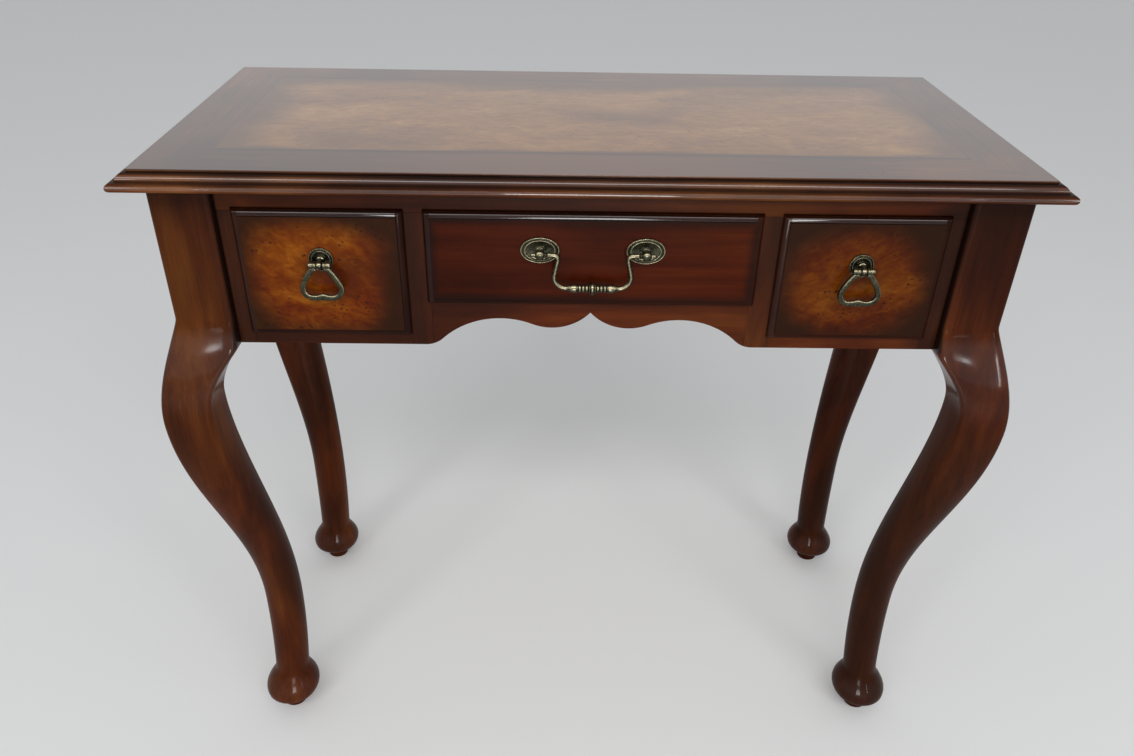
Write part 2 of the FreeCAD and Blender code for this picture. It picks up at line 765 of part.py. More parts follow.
class Drawer:
    """Sizes of one drawer, worked out from its opening."""

    def __init__(self, left, right, floor, tail_count, veneered):
        self.left = left
        self.right = right
        self.floor = floor
        self.tail_count = tail_count
        self.veneered = veneered
        self.box_left = left + drawer_side_gap
        self.box_right = right - drawer_side_gap
        self.low = floor + drawer_floor_gap
        self.high = opening_head - drawer_head_gap
        self.lip_left = left - lip_overlap
        self.lip_low = floor - lip_overlap
        self.lip_width = right - left + 2 * lip_overlap
        self.lip_height = opening_head - floor + 2 * lip_overlap
        self.bottom_low = self.low + drawer_bottom_rise
        self.bottom_high = self.bottom_low + drawer_bottom_thickness

    def tails(self, x0, x1):
        """Dovetail tails at the front end of a side, between two planes across X."""
        pitch = (self.high - self.low) / self.tail_count
        base_y = inset_back
        tip_y = inset_back - dovetail_length
        shapes = []
        for index in range(self.tail_count):
            low = self.low + pitch * (index + tail_margin)
            high = self.low + pitch * (index + 1 - tail_margin)
            points = [
                Vector(x0, base_y, low + dovetail_spread),
                Vector(x0, tip_y, low),
                Vector(x0, tip_y, high),
                Vector(x0, base_y, high - dovetail_spread),
            ]
            shapes.append(prism(points, Vector(x1 - x0, 0, 0)))
        return shapes

    def all_tails(self):
        inner_left = self.box_left + drawer_side_thickness
        inner_right = self.box_right - drawer_side_thickness
        return self.tails(self.box_left, inner_left) + self.tails(inner_right, self.box_right)

    def bottom(self):
        """Plywood bottom in its grooves, from the front to the rear ends of the sides."""
        reach = drawer_side_thickness - groove_depth
        return box(self.box_left + reach, self.box_right - reach,
                   inset_back - groove_depth, drawer_rear, self.bottom_low, self.bottom_high)

    def back(self):
        """Back, housed in the sides above the bottom."""
        reach = drawer_side_thickness - back_housing
        rear = drawer_rear - back_inset
        return box(self.box_left + reach, self.box_right - reach,
                   rear - drawer_side_thickness, rear, self.bottom_high, self.high - drawer_head_gap)

    def front(self, pull_places):
        """Lipped, moulded front with its dovetail sockets, bottom groove and stud bores."""
        veneer = front_veneer_thickness if self.veneered else 0.0
        lip = moulded_lip(self.lip_width, self.lip_height, lip_thickness - veneer)
        lip.translate(Vector(self.lip_left, lip_back, self.lip_low))
        inset = box(self.box_left, self.box_right, lip_back, inset_back, self.low, self.high)
        return lip.fuse(inset).cut(self.all_tails() + [self.bottom()] + stud_bores(pull_places))

    def veneer(self, pull_places):
        """Burl veneer on the flat field of the front."""
        sheet = box(self.lip_left + thumbnail_width, self.lip_left + self.lip_width - thumbnail_width,
                    drawer_face, drawer_face + front_veneer_thickness,
                    self.lip_low + thumbnail_width, self.lip_low + self.lip_height - thumbnail_width)
        return sheet.cut(stud_bores(pull_places))

    def side(self, x0, x1):
        """One side: board, dovetail tails, groove for the bottom and housing for the back."""
        board = box(x0, x1, inset_back, drawer_rear, self.low, self.high)
        return board.fuse(self.tails(x0, x1)).cut([self.bottom(), self.back()])

    def save(self, name, pull_places):
        save("drawer_" + name + "_front", self.front(pull_places))
        if self.veneered:
            save("drawer_" + name + "_front_veneer", self.veneer(pull_places))
        inner_left = self.box_left + drawer_side_thickness
        inner_right = self.box_right - drawer_side_thickness
        save("drawer_" + name + "_side_left", self.side(self.box_left, inner_left))
        save("drawer_" + name + "_side_right", self.side(inner_right, self.box_right))
        save("drawer_" + name + "_back", self.back())
        save("drawer_" + name + "_bottom", self.bottom())


# ---------------------------------------------------------------- pulls

def turned_plate(radius):
    """Dished backplate with a rim, a channel and a raised ring, round the Y axis, its back on Y = 0."""
    rim_inner = radius - plate_rim_width
    roll_outer = rim_inner - plate_channel_width
    roll_inner = roll_outer - plate_roll_width
    hub = stud_radius + hub_width

    def at(distance, thickness):
        return Vector(distance, -thickness, 0)

    edges = [
        line(at(stud_radius, 0), at(radius, 0)),
        line(at(radius, 0), at(radius, plate_channel_thickness)),
        arc(at(radius, plate_channel_thickness), at(radius - plate_rim_width / 2, plate_rim_thickness),
            at(rim_inner, plate_channel_thickness)),
        line(at(rim_inner, plate_channel_thickness), at(roll_outer, plate_channel_thickness)),
        arc(at(roll_outer, plate_channel_thickness), at((roll_outer + roll_inner) / 2, rosette_thickness),
            at(roll_inner, hub_thickness)),
        arc(at(roll_inner, hub_thickness), at((roll_inner + hub) / 2, plate_dish_thickness),
            at(hub, plate_dish_thickness)),
        line(at(hub, plate_dish_thickness), at(hub, hub_thickness)),
        line(at(hub, hub_thickness), at(stud_radius, hub_thickness)),
        line(at(stud_radius, hub_thickness), at(stud_radius, 0)),
    ]
    return Part.Face(Part.Wire(edges)).revolve(Vector(0, 0, 0), Vector(0, 1, 0), 360)


def oval_plate():
    """The turned backplate drawn out sideways to an oval, with a round hole for its stud."""
    stretch = FreeCAD.Matrix()
    stretch.scale(oval_half_width / oval_half_height, 1, 1)
    plate = turned_plate(oval_half_height).transformGeometry(stretch)
    hub = cylinder(stud_radius + hub_width, Vector(0, 0, 0), Vector(0, -hub_thickness, 0))
    hole = cylinder(stud_radius, Vector(0, 1, 0), Vector(0, -2 * rosette_thickness, 0))
    return plate.fuse(hub).cut(hole).removeSplitter()


def nut():
    """Hexagonal nut round the Y axis, its face on Y = 0."""
    corner = nut_across_flats / math.sqrt(3)
    points = [Vector(corner * math.cos(math.pi / 3 * turn), 0, corner * math.sin(math.pi / 3 * turn))
              for turn in range(6)]
    body = prism(points, Vector(0, nut_thickness, 0))
    return body.cut(cylinder(stud_radius, Vector(0, -1, 0), Vector(0, nut_thickness + 1, 0)))


def stud(projection):
    """Threaded stud through the front, with a collar against the backplate; Y = 0 is the drawer's face."""
    rear = inset_back - drawer_face + nut_thickness + stud_past_nut
    shaft = cylinder(stud_radius, Vector(0, -projection, 0), Vector(0, rear, 0))
    collar = cylinder(stud_radius + collar_width, Vector(0, -hub_thickness, 0),
                      Vector(0, -hub_thickness - collar_thickness, 0))
    return shaft.fuse(collar)


def drop_post():
    """Post of a drop pull: a stud that ends in a flat-sided ball, bored across for the bail's pins."""
    half = tongue_width / 2
    pivot = Vector(0, -drop_pivot_projection, -drop_pivot_drop)
    reach = 2 * tongue_radius
    slab = box(-half, half, pivot.y - reach, pivot.y + reach, pivot.z - reach, pivot.z + reach)
    ball = Part.makeSphere(tongue_radius, pivot, Vector(1, 0, 0)).common(slab)
    side = Vector(reach, 0, 0)
    hole = cylinder(drop_pin_radius + hinge_clearance, pivot - side, pivot + side)
    return stud(drop_pivot_projection).fuse(ball).cut(hole)


def stirrup():
    """Drop bail about its pivot: a flat stirrup band, two knuckles and their inward pins."""
    half_band_width = stirrup_band / 2
    low = -stirrup_drop
    inner_low = low + stirrup_band
    side_start = math.radians(stirrup_corner_turn - 90)
    side_end = side_start + math.radians(stirrup_side_turn)
    corner_centre = Vector(stirrup_corner_place, 0, low + half_band_width + stirrup_corner_radius)
    reach = stirrup_side_radius - stirrup_corner_radius
    side_centre = corner_centre - Vector(math.cos(side_start), 0, math.sin(side_start)) * reach

    def on_circle(centre, radius, angle):
        return centre + Vector(math.cos(angle), 0, math.sin(angle)) * radius

    def mirrored(point):
        return Vector(-point.x, 0, point.z)

    def edge_of_band(offset, top):
        """One edge of the band from its low corner to the knuckle, on both sides."""
        corner_radius = stirrup_corner_radius + offset
        side_radius = stirrup_side_radius + offset
        corner_low = on_circle(corner_centre, corner_radius, -math.pi / 2)
        corner_middle = on_circle(corner_centre, corner_radius, -math.pi / 4)
        turned = on_circle(corner_centre, corner_radius, side_start)
        side_middle = on_circle(side_centre, side_radius, (side_start + side_end) / 2)
        side_top = on_circle(side_centre, side_radius, side_end)
        edges = []
        for at in (Vector, mirrored):
            edges.append(arc(at(corner_low), at(corner_middle), at(turned)))
            edges.append(arc(at(turned), at(side_middle), at(side_top)))
            edges.append(line(at(side_top), at(top)))
        return edges

    shoulder = Vector(stirrup_shoulder_place, 0, -stirrup_shoulder_drop)
    crotch = Vector(stirrup_crotch_place, 0, -stirrup_crotch_drop)
    outer_low = Vector(stirrup_corner_place, 0, low)
    inner_corner = Vector(stirrup_corner_place, 0, inner_low)
    cusp_foot = Vector(stirrup_cusp_place, 0, inner_low)
    cusp = Vector(0, 0, inner_low + stirrup_cusp)
    edges = edge_of_band(half_band_width, shoulder) + edge_of_band(-half_band_width, crotch)
    edges.append(line(mirrored(outer_low), outer_low))
    edges.append(arc(cusp_foot, cusp, mirrored(cusp_foot)))
    for at in (Vector, mirrored):
        edges.append(line(at(inner_corner), at(cusp_foot)))
        edges.append(line(at(shoulder), at(crotch)))
    band = Part.Face(Part.Wire(Part.sortEdges(edges)[0]))
    band.translate(Vector(0, -stirrup_thickness / 2, 0))
    bail = band.extrude(Vector(0, stirrup_thickness, 0))
    start = tongue_width / 2 + knuckle_gap
    end = start + knuckle_width
    for side in (1, -1):
        knuckle = cylinder(knuckle_radius, Vector(side * start, 0, 0), Vector(side * end, 0, 0))
        pin = cylinder(drop_pin_radius, Vector(side * hinge_clearance, 0, 0), Vector(side * end, 0, 0))
        bail = bail.fuse([knuckle, pin])
    return bail


def eye_post():
    """Post of the centre pull: a stud with a round domed head, bored across for the bail."""
    front = -bail_pivot_projection - eye_length / 2
    back = front + eye_length
    pivot = Vector(0, -bail_pivot_projection, 0)
    shoulder = Vector(eye_radius, front + eye_dome, 0)
    slant = math.sqrt(0.5)
    dome_middle = Vector(eye_radius * slant, front + eye_dome * (1 - slant), 0)
    apex = Vector(0, front, 0)
    neck = Vector(stud_radius, back, 0)
    edges = [
        arc(apex, dome_middle, shoulder),
        line(shoulder, Vector(eye_radius, back - eye_dome, 0)),
        line(Vector(eye_radius, back - eye_dome, 0), neck),
        line(neck, Vector(0, back, 0)),
        line(Vector(0, back, 0), apex),
    ]
    head = Part.Face(Part.Wire(edges)).revolve(Vector(0, 0, 0), Vector(0, 1, 0), 360)
    reach = Vector(2 * eye_radius, 0, 0)
    hole = cylinder(bail_pin_radius + hinge_clearance, pivot - reach, pivot + reach)
    return stud(bail_pivot_projection - eye_length / 2 + eye_dome).fuse(head).cut(hole)


def swan_neck():
    """Right-hand neck of the centre bail: pin, upper bend, straight neck and lower bend."""
    upper = Vector(neck_bend_place, 0, -neck_bend_radius)
    lower = Vector(bar_bend_place, 0, -bail_drop + bar_bend_radius)
    between = lower.sub(upper)
    # the neck runs along the crossing tangent of the two bend circles
    slope = math.atan2(between.z, between.x)
    lean = math.asin((neck_bend_radius + bar_bend_radius) / between.Length)
    heading = slope + lean
    normal = Vector(math.sin(heading), 0, -math.cos(heading))
    upper_end = upper + normal * neck_bend_radius
    lower_start = lower - normal * bar_bend_radius
    upper_middle = upper + (normal + Vector(0, 0, 1)).normalize() * neck_bend_radius
    lower_middle = lower - (normal + Vector(0, 0, 1)).normalize() * bar_bend_radius
    pin_inner = Vector(bail_spacing / 2 - eye_radius - knuckle_gap, 0, 0)
    bend_start = Vector(neck_bend_place, 0, 0)
    bar_start = Vector(bar_bend_place, 0, -bail_drop)
    bar_lap = Vector(bar_bend_place - neck_lap, 0, -bail_drop)
    path = Part.Wire([
        line(pin_inner, bend_start),
        arc(bend_start, upper_middle, upper_end),
        line(upper_end, lower_start),
        arc(lower_start, lower_middle, bar_start),
        line(bar_start, bar_lap),
    ])
    circle = Part.Wire(Part.makeCircle(bail_neck_radius, pin_inner, Vector(-1, 0, 0)))
    neck = path.makePipeShell([circle], True, False)
    pin_outer = Vector(bail_spacing / 2 + eye_radius + knuckle_gap + bail_ball_radius, 0, 0)
    pin = cylinder(bail_pin_radius, pin_inner, pin_outer)
    ball = Part.makeSphere(bail_ball_radius, pin_outer)
    return neck.fuse([pin, ball])


def bail_bar():
    """Bar of the centre bail: two swelling barrels, small beads and a large centre bead."""
    bar_end = bar_bend_place
    groove = bead_groove_radius
    bead_span = (barrel_end - centre_bead_half_width) / bead_count
    middle = (bar_end + barrel_end) / 2

    def half_profile(side):
        def at(x, radius):
            return Vector(side * x, 0, radius)

        edges = [
            line(at(bar_end, 0), at(bar_end, bail_neck_radius)),
            arc(at(bar_end, bail_neck_radius), at(middle, barrel_middle_radius),
                at(barrel_end, barrel_radius)),
            line(at(barrel_end, barrel_radius), at(barrel_end, groove)),
        ]
        for index in range(bead_count):
            start = barrel_end - bead_span * index
            end = start - bead_span
            edges.append(arc(at(start, groove), at((start + end) / 2, bead_radius), at(end, groove)))
        edges.append(line(at(centre_bead_half_width, groove), at(centre_bead_half_width, bead_radius)))
        return edges

    crown = arc(Vector(-centre_bead_half_width, 0, bead_radius), Vector(0, 0, centre_bead_radius),
                Vector(centre_bead_half_width, 0, bead_radius))
    axis = line(Vector(-bar_end, 0, 0), Vector(bar_end, 0, 0))
    outline = Part.Wire(Part.sortEdges(half_profile(1) + half_profile(-1) + [crown, axis])[0])
    bar = Part.Face(outline).revolve(Vector(0, 0, 0), Vector(1, 0, 0), 360)
    bar.translate(Vector(0, 0, -bail_drop))
    return bar


def centre_bail():
    """The whole swan-neck bail about its pivot line."""
    neck = swan_neck()
    return bail_bar().fuse([neck, mirror_x(neck)])


def placed(shape, x, y, z):
    moved = shape.copy()
    moved.translate(Vector(x, y, z))
    return moved


def save_side_pull(name, x, z):
    """Backplate, post, nut and stirrup of one side drawer."""
    save("drop_backplate_" + name, placed(turned_plate(rosette_radius), x, drawer_face, z))
    save("drop_post_" + name, placed(drop_post(), x, drawer_face, z))
    save("drop_nut_" + name, placed(nut(), x, inset_back, z))
    save("drop_bail_" + name, placed(stirrup(), x, drawer_face - drop_pivot_projection, z - drop_pivot_drop))


def save_centre_pull(z):
    """Backplates, eye posts, nuts and bail of the centre drawer."""
    half = bail_spacing / 2

    def pair(shape, y):
        return Part.makeCompound([placed(shape, -half, y, z), placed(shape, half, y, z)])

    save("centre_backplates", pair(oval_plate(), drawer_face))
    save("centre_eye_posts", pair(eye_post(), drawer_face))
    save("centre_nuts", pair(nut(), inset_back))
    save("centre_bail", placed(centre_bail(), 0, drawer_face - bail_pivot_projection, z))


# ---------------------------------------------------------------- the whole lowboy

def save_top():
    save("top_core", top_core())
    save("top_edge_front", front_edge())
    save_pair("top_edge", right_edge())
    save("top_edge_back", back_edge())
    save("top_border_veneer", border_veneer())
    save("top_burl_veneer", burl_veneer())
    save("top_cleats", top_cleats())
    save("top_screws", top_screws())


def save_legs():
    blank = leg()
    front = blank.cut([rail_tenon(), end_panel_tenon()])
    rear = mirror_y(blank).cut([back_panel_tenon(), mirror_y(end_panel_tenon())])
    save_pair("leg_front", front)
    save_pair("leg_rear", rear)


def save_case():
    save("top_rail", top_rail())
    save_pair("inner_stile", inner_stile())
    save_pair("end_stile", end_stile())
    save_pair("bottom_rail", bottom_rail())
    save("apron", apron())
    save_pair("end_panel", end_panel())
    save("back_panel", back_panel())
    save_pair("partition", partition())
    save("drawer_runners", drawer_runners())
    save("drawer_guides", drawer_guides())
    save("kickers", kickers())


def save_drawers():
    side_pull = side_opening_floor - lip_overlap + pull_height_above_lower_lip
    centre_pull = centre_opening_floor - lip_overlap + centre_pull_above_lower_lip
    right = Drawer(side_opening_inner, side_opening_outer, side_opening_floor, 3, True)
    left = Drawer(-side_opening_outer, -side_opening_inner, side_opening_floor, 3, True)
    centre = Drawer(-centre_half_opening, centre_half_opening, centre_opening_floor, 2, False)
    right.save("right", [(side_centre, side_pull)])
    left.save("left", [(-side_centre, side_pull)])
    centre.save("centre", [(-bail_spacing / 2, centre_pull), (bail_spacing / 2, centre_pull)])
    save_side_pull("right", side_centre, side_pull)
    save_side_pull("left", -side_centre, side_pull)
    save_centre_pull(centre_pull)


save_top()
save_legs()
save_case()
save_drawers()
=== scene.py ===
import bmesh
import bpy
import json
import math
from mathutils import Matrix, Vector

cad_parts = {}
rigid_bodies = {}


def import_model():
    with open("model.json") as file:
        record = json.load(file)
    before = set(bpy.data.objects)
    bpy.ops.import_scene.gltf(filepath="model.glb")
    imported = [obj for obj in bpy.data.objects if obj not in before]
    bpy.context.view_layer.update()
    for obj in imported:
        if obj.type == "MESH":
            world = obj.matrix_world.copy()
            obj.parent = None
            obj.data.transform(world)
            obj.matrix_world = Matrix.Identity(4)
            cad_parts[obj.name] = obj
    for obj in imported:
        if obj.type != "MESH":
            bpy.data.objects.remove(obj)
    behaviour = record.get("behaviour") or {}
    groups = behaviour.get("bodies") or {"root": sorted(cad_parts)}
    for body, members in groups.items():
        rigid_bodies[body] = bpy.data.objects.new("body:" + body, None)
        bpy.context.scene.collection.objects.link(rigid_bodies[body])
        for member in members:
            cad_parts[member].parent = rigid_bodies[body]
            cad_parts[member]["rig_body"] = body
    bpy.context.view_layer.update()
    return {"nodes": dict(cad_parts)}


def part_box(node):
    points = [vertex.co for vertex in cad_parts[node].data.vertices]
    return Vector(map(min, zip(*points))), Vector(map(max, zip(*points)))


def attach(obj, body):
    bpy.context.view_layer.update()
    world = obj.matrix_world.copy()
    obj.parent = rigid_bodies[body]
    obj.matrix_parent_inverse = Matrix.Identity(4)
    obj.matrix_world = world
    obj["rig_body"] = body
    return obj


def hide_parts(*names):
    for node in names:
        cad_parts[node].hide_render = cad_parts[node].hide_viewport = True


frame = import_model()
scene = bpy.context.scene
scene.view_settings.view_transform = "Standard"


# ------------------------------------------------------------------ the studio
# A pale floor runs on behind the lowboy. The world shows white to the eye and in the
# polish, and lights the wood at a plain level. A long soft lamp hangs above the viewer,
# others stand at both sides and low in front, and three weak ones show in the knees.

FLOOR_SIZE = 60
FLOOR_PALE = 0.88
BACKDROP = (0.97, 0.985, 1.0)
WORLD_LIGHT = 0.50
WORLD_AS_SEEN = 0.95

surface = bpy.data.materials.new("studio_floor")
surface.use_nodes = True
shader = surface.node_tree.nodes["Principled BSDF"]
shader.inputs["Base Color"].default_value = (FLOOR_PALE, FLOOR_PALE, FLOOR_PALE, 1)
shader.inputs["Roughness"].default_value = 0.9
shader.inputs["Specular IOR Level"].default_value = 0.1

bpy.ops.object.select_all(action="DESELECT")
bpy.ops.mesh.primitive_plane_add(size=FLOOR_SIZE, location=(0, 0, -0.0005))
floor = bpy.context.object
floor.name = "studio_floor"
floor.data.materials.append(surface)

world = bpy.data.worlds.new("studio")
world.use_nodes = True
air = world.node_tree
backdrop = air.nodes["Background"]
backdrop.inputs["Color"].default_value = (*BACKDROP, 1)
ray = air.nodes.new("ShaderNodeLightPath")
seen = air.nodes.new("ShaderNodeMath")
seen.operation = "MAXIMUM"
air.links.new(ray.outputs["Is Camera Ray"], seen.inputs[0])
air.links.new(ray.outputs["Is Glossy Ray"], seen.inputs[1])
strength = air.nodes.new("ShaderNodeMapRange")
strength.inputs["To Min"].default_value = WORLD_LIGHT
strength.inputs["To Max"].default_value = WORLD_AS_SEEN
air.links.new(seen.outputs["Value"], strength.inputs["Value"])
air.links.new(strength.outputs["Result"], backdrop.inputs["Strength"])
scene.world = world


def soft_lamp(name, place, aim, width, height, power):
    """A rectangular lamp turned towards a point of the lowboy."""
    data = bpy.data.lights.new(name, "AREA")
    data.shape = "RECTANGLE"
    data.size = width
    data.size_y = height
    data.energy = power
    lamp = bpy.data.objects.new(name, data)
    scene.collection.objects.link(lamp)
    lamp.location = place
    lamp.rotation_euler = (Vector(aim) - Vector(place)).to_track_quat("-Z", "Y").to_euler()
    lamp.visible_camera = False


LEFT_KNEE = (-0.374, -0.183, 0.579)
RIGHT_KNEE = (0.375, -0.185, 0.574)
RIGHT_KNEE_SIDE = (0.420, -0.189, 0.560)
soft_lamp("lamp_above_viewer", (0.0, -2.7, 3.1), (0, 0, 0.5), 4.2, 0.7, 52)
soft_lamp("lamp_before_the_case", (0.09, -2.6, 0.45), (0.05, 0, 0.7), 0.6, 0.5, 17)
soft_lamp("lamp_left", (-1.9, -2.7, 1.5), (0, 0, 0.4), 0.6, 0.6, 8)
soft_lamp("lamp_right", (2.1, -2.5, 1.5), (0, 0, 0.4), 0.6, 0.6, 7)
soft_lamp("lamp_at_left_knee", (-1.31, -2.78, 0.95), LEFT_KNEE, 0.05, 0.05, 0.32)
soft_lamp("lamp_at_right_knee", (1.50, -2.71, 0.89), RIGHT_KNEE, 0.05, 0.05, 0.28)
soft_lamp("lamp_beside_right_knee", (1.86, -2.66, 0.72), RIGHT_KNEE_SIDE, 0.025, 0.45, 2.2)

VIEWPOINT = (-0.0381, -0.9836, 1.0471)
LENS = 29.161
LOOK_DOWN = 0.5604
LOOK_RIGHT = 0.0194
ROLL = 0.0201
camera_data = bpy.data.cameras.new("camera")
camera_data.sensor_width = 36
camera_data.lens = LENS
camera = bpy.data.objects.new("camera", camera_data)
scene.collection.objects.link(camera)
facing = Matrix.Rotation(-LOOK_RIGHT, 4, "Z")
facing = facing @ Matrix.Rotation(math.pi / 2 - LOOK_DOWN, 4, "X")
facing = facing @ Matrix.Rotation(ROLL, 4, "Z")
camera.matrix_world = Matrix.Translation(VIEWPOINT) @ facing
scene.camera = camera


# ------------------------------------------------------------------ the legs
# Each leg is one piece of red mahogany: a square post, a knee that swells out of it, a
# round ankle and a turned pad foot on a small disc. It is sawn, carved and then glazed.

class Tone:
    """A value that changes over a finish. Arithmetic written with it adds Math nodes."""

    def __init__(self, finish, socket):
        self.finish = finish
        self.socket = socket

    def worked(self, operation, first, second):
        return self.finish.node("ShaderNodeMath", {"operation": operation},
                                {0: first, 1: second})

    def __add__(self, other):
        return self.worked("ADD", self, other)

    def __radd__(self, other):
        return self.worked("ADD", other, self)

    def __sub__(self, other):
        return self.worked("SUBTRACT", self, other)

    def __rsub__(self, other):
        return self.worked("SUBTRACT", other, self)

    def __mul__(self, other):
        return self.worked("MULTIPLY", self, other)

    def __rmul__(self, other):
        return self.worked("MULTIPLY", other, self)

    def __pow__(self, other):
        return self.worked("POWER", self, other)

    def __abs__(self):
        return self.worked("ABSOLUTE", self, 0)

    def most(self, other):
        return self.worked("MAXIMUM", self, other)

    def least(self, other):
        return self.worked("MINIMUM", self, other)

    def rise(self, low, high):
        """0 below the low value, 1 above the high one, soft between them."""
        return self.finish.node("ShaderNodeMapRange", {"interpolation_type": "SMOOTHSTEP"},
                                {"Value": self, "From Min": low, "From Max": high})


class Finish:
    """One finish of the lowboy: a material with its shader and all that feeds it."""

    def __init__(self, name, constants):
        self.material = bpy.data.materials.new(name)
        self.material.use_nodes = True
        self.tree = self.material.node_tree
        self.shader = self.tree.nodes["Principled BSDF"]
        for socket, value in constants.items():
            self.shader.inputs[socket].default_value = value
        self.place = self.node("ShaderNodeTexCoord", {}, {}, "Object")

    def node(self, kind, settings, values, output=0):
        """Any node: its settings first, then the values or links of its sockets."""
        made = self.tree.nodes.new(kind)
        for setting, value in settings.items():
            if setting == "stops":
                self.set_stops(made.color_ramp, value)
            else:
                setattr(made, setting, value)
        for socket, value in values.items():
            self.feed(made.inputs[socket], value)
        return Tone(self, made.outputs[output])

    def set_stops(self, ramp, stops):
        while len(ramp.elements) < len(stops):
            ramp.elements.new(0.5)
        for element, (position, colour) in zip(ramp.elements, stops):
            element.position = position
            element.color = (*colour, 1)

    def feed(self, socket, value):
        if isinstance(value, Tone):
            self.tree.links.new(value.socket, socket)
        elif isinstance(value, tuple) and len(value) == 3 and socket.type == "RGBA":
            socket.default_value = (*value, 1)
        else:
            socket.default_value = value

    def stretched(self, scale, shift=(0, 0, 0)):
        """Object coordinates pulled out along the grain."""
        return self.node("ShaderNodeMapping", {},
                         {"Vector": self.place, "Scale": scale, "Location": shift})

    def noise(self, place, scale, detail=3.0, roughness=0.5, distortion=0.0):
        """Clouds, streaks or mottle, finer as the scale grows."""
        return self.node("ShaderNodeTexNoise", {},
                         {"Vector": place, "Scale": scale, "Detail": detail,
                          "Roughness": roughness, "Distortion": distortion})

    def spots(self, place, scale, dimensions="3D"):
        """How far a point lies from the nearest of many scattered spots."""
        return self.node("ShaderNodeTexVoronoi", {"voronoi_dimensions": dimensions},
                         {"Vector": place, "Scale": scale})

    def ramp(self, tone, stops):
        return self.node("ShaderNodeValToRGB", {"stops": stops}, {"Fac": tone})

    def mix(self, share, first, second, blend="MIX"):
        return self.node("ShaderNodeMix", {"data_type": "RGBA", "blend_type": blend},
                         {0: share, 6: first, 7: second}, 2)

    def axis(self, letter):
        return self.node("ShaderNodeSeparateXYZ", {}, {0: self.place}, letter)

    def bump(self, height, strength, distance):
        return self.node("ShaderNodeBump", {},
                         {"Strength": strength, "Distance": distance, "Height": height})

    def to(self, **feeds):
        """Feed the shader's sockets, their names written with _ for a space."""
        for socket, value in feeds.items():
            self.feed(self.shader.inputs[socket.replace("_", " ")], value)


LACQUER = {"Coat Weight": 0.10, "Coat Roughness": 0.08, "Coat IOR": 1.45,
           "Specular IOR Level": 0.03}
ALONG_GRAIN = 0.045
ALONG_CLOUDS = 0.35
PORE_BROWN = (0.010, 0.003, 0.002)
GLAZE_AND_SHADE_BLACK = (0.0075, 0.003, 0.002)
WARMER = (1.0, 1.25, 1.1)


def grain_scale(along, pull=ALONG_GRAIN):
    """How the figure is pulled out along one axis."""
    return tuple(pull if letter == along else 1.0 for letter in "XYZ")


def mahogany(name, along, stops, glaze_and_shade=None, gloss=None, lacquer=LACQUER):
    """Red mahogany under tinted lacquer: cloudy stain, faint streaks, pores with the grain."""
    finish = Finish(name, lacquer)
    pulled = finish.stretched(grain_scale(along))
    streaks = finish.noise(pulled, 75, 4, 0.6, 0.5)
    fine = finish.noise(pulled, 420, 3, 0.65)
    clouds = finish.noise(finish.stretched(grain_scale(along, ALONG_CLOUDS)), 11, 3, 0.5, 0.6)
    pores = finish.noise(pulled, 1500, 2, 0.7).rise(0.56, 0.72)
    figure = clouds * 0.62 + streaks * 0.25 + fine * 0.13
    colour = finish.ramp(figure, stops)
    warm = finish.noise(finish.place, 4.5, 2, 0.5).rise(0.42, 0.62)
    colour = finish.mix(warm * 0.6, colour, WARMER, "MULTIPLY")
    colour = finish.mix(pores * 0.30, colour, PORE_BROWN)
    # near-black glazing and painted shade, from the mask each finish is given
    if glaze_and_shade:
        colour = finish.mix(glaze_and_shade(finish), colour, GLAZE_AND_SHADE_BLACK)
    if gloss:
        finish.to(Coat_Weight=gloss(finish))
    rough = 0.30 + 0.10 * clouds + 0.08 * pores
    height = fine * 0.4 - pores * 0.6
    finish.to(Base_Color=colour, Roughness=rough, Normal=finish.bump(height, 0.2, 0.0002))
    return finish


RED_STOPS = [(0.36, (0.020, 0.0046, 0.0017)), (0.46, (0.038, 0.0080, 0.0023)),
             (0.54, (0.062, 0.0130, 0.0030)), (0.64, (0.100, 0.0250, 0.0050))]


def near(tone, value, reach):
    """1 at a value, falling away on both sides of it."""
    return 1 - abs(tone - value).rise(0, reach)


def hollow_shade_and_dark_arrises(finish):
    """Darker in the hollows, glazing with painted shade there, and darker along the arrises."""
    sharpness = finish.node("ShaderNodeNewGeometry", {}, {}, "Pointiness")
    hollow_glazing_and_shade = 1 - sharpness.rise(0.40, 0.49)
    arris = sharpness.rise(0.52, 0.60)
    return hollow_glazing_and_shade.most(arris) * 0.55


def only(piece):
    """Select one piece alone."""
    bpy.ops.object.select_all(action="DESELECT")
    piece.select_set(True)
    bpy.context.view_layer.objects.active = piece


def settle(piece):
    """Put a piece's place, turn and scale into its mesh."""
    only(piece)
    bpy.ops.object.transform_apply(location=True, rotation=True, scale=True)


def smooth(piece, angle):
    """Shade a piece smooth, but for edges sharper than an angle in degrees."""
    only(piece)
    bpy.ops.object.shade_smooth_by_angle(angle=math.radians(angle))


def draw_out(step):
    """Extrude what is selected by a step."""
    bpy.ops.mesh.extrude_region_move(TRANSFORM_OT_translate={"value": step})


def tidy_skin(piece):
    """Merge doubles and turn every face outwards."""
    only(piece)
    bpy.ops.object.mode_set(mode="EDIT")
    bpy.ops.mesh.select_mode(type="VERT")
    bpy.ops.mesh.select_all(action="SELECT")
    bpy.ops.mesh.remove_doubles(threshold=0.00002)
    bpy.ops.mesh.normals_make_consistent(inside=False)
    bpy.ops.object.mode_set(mode="OBJECT")


def fit(piece, node, finish):
    """Give a piece its finish, and let it ride with a node's body in that node's place."""
    original = frame["nodes"][node]
    piece.data.materials.clear()
    piece.data.materials.append(finish.material)
    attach(piece, original["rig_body"])
    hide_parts(node)


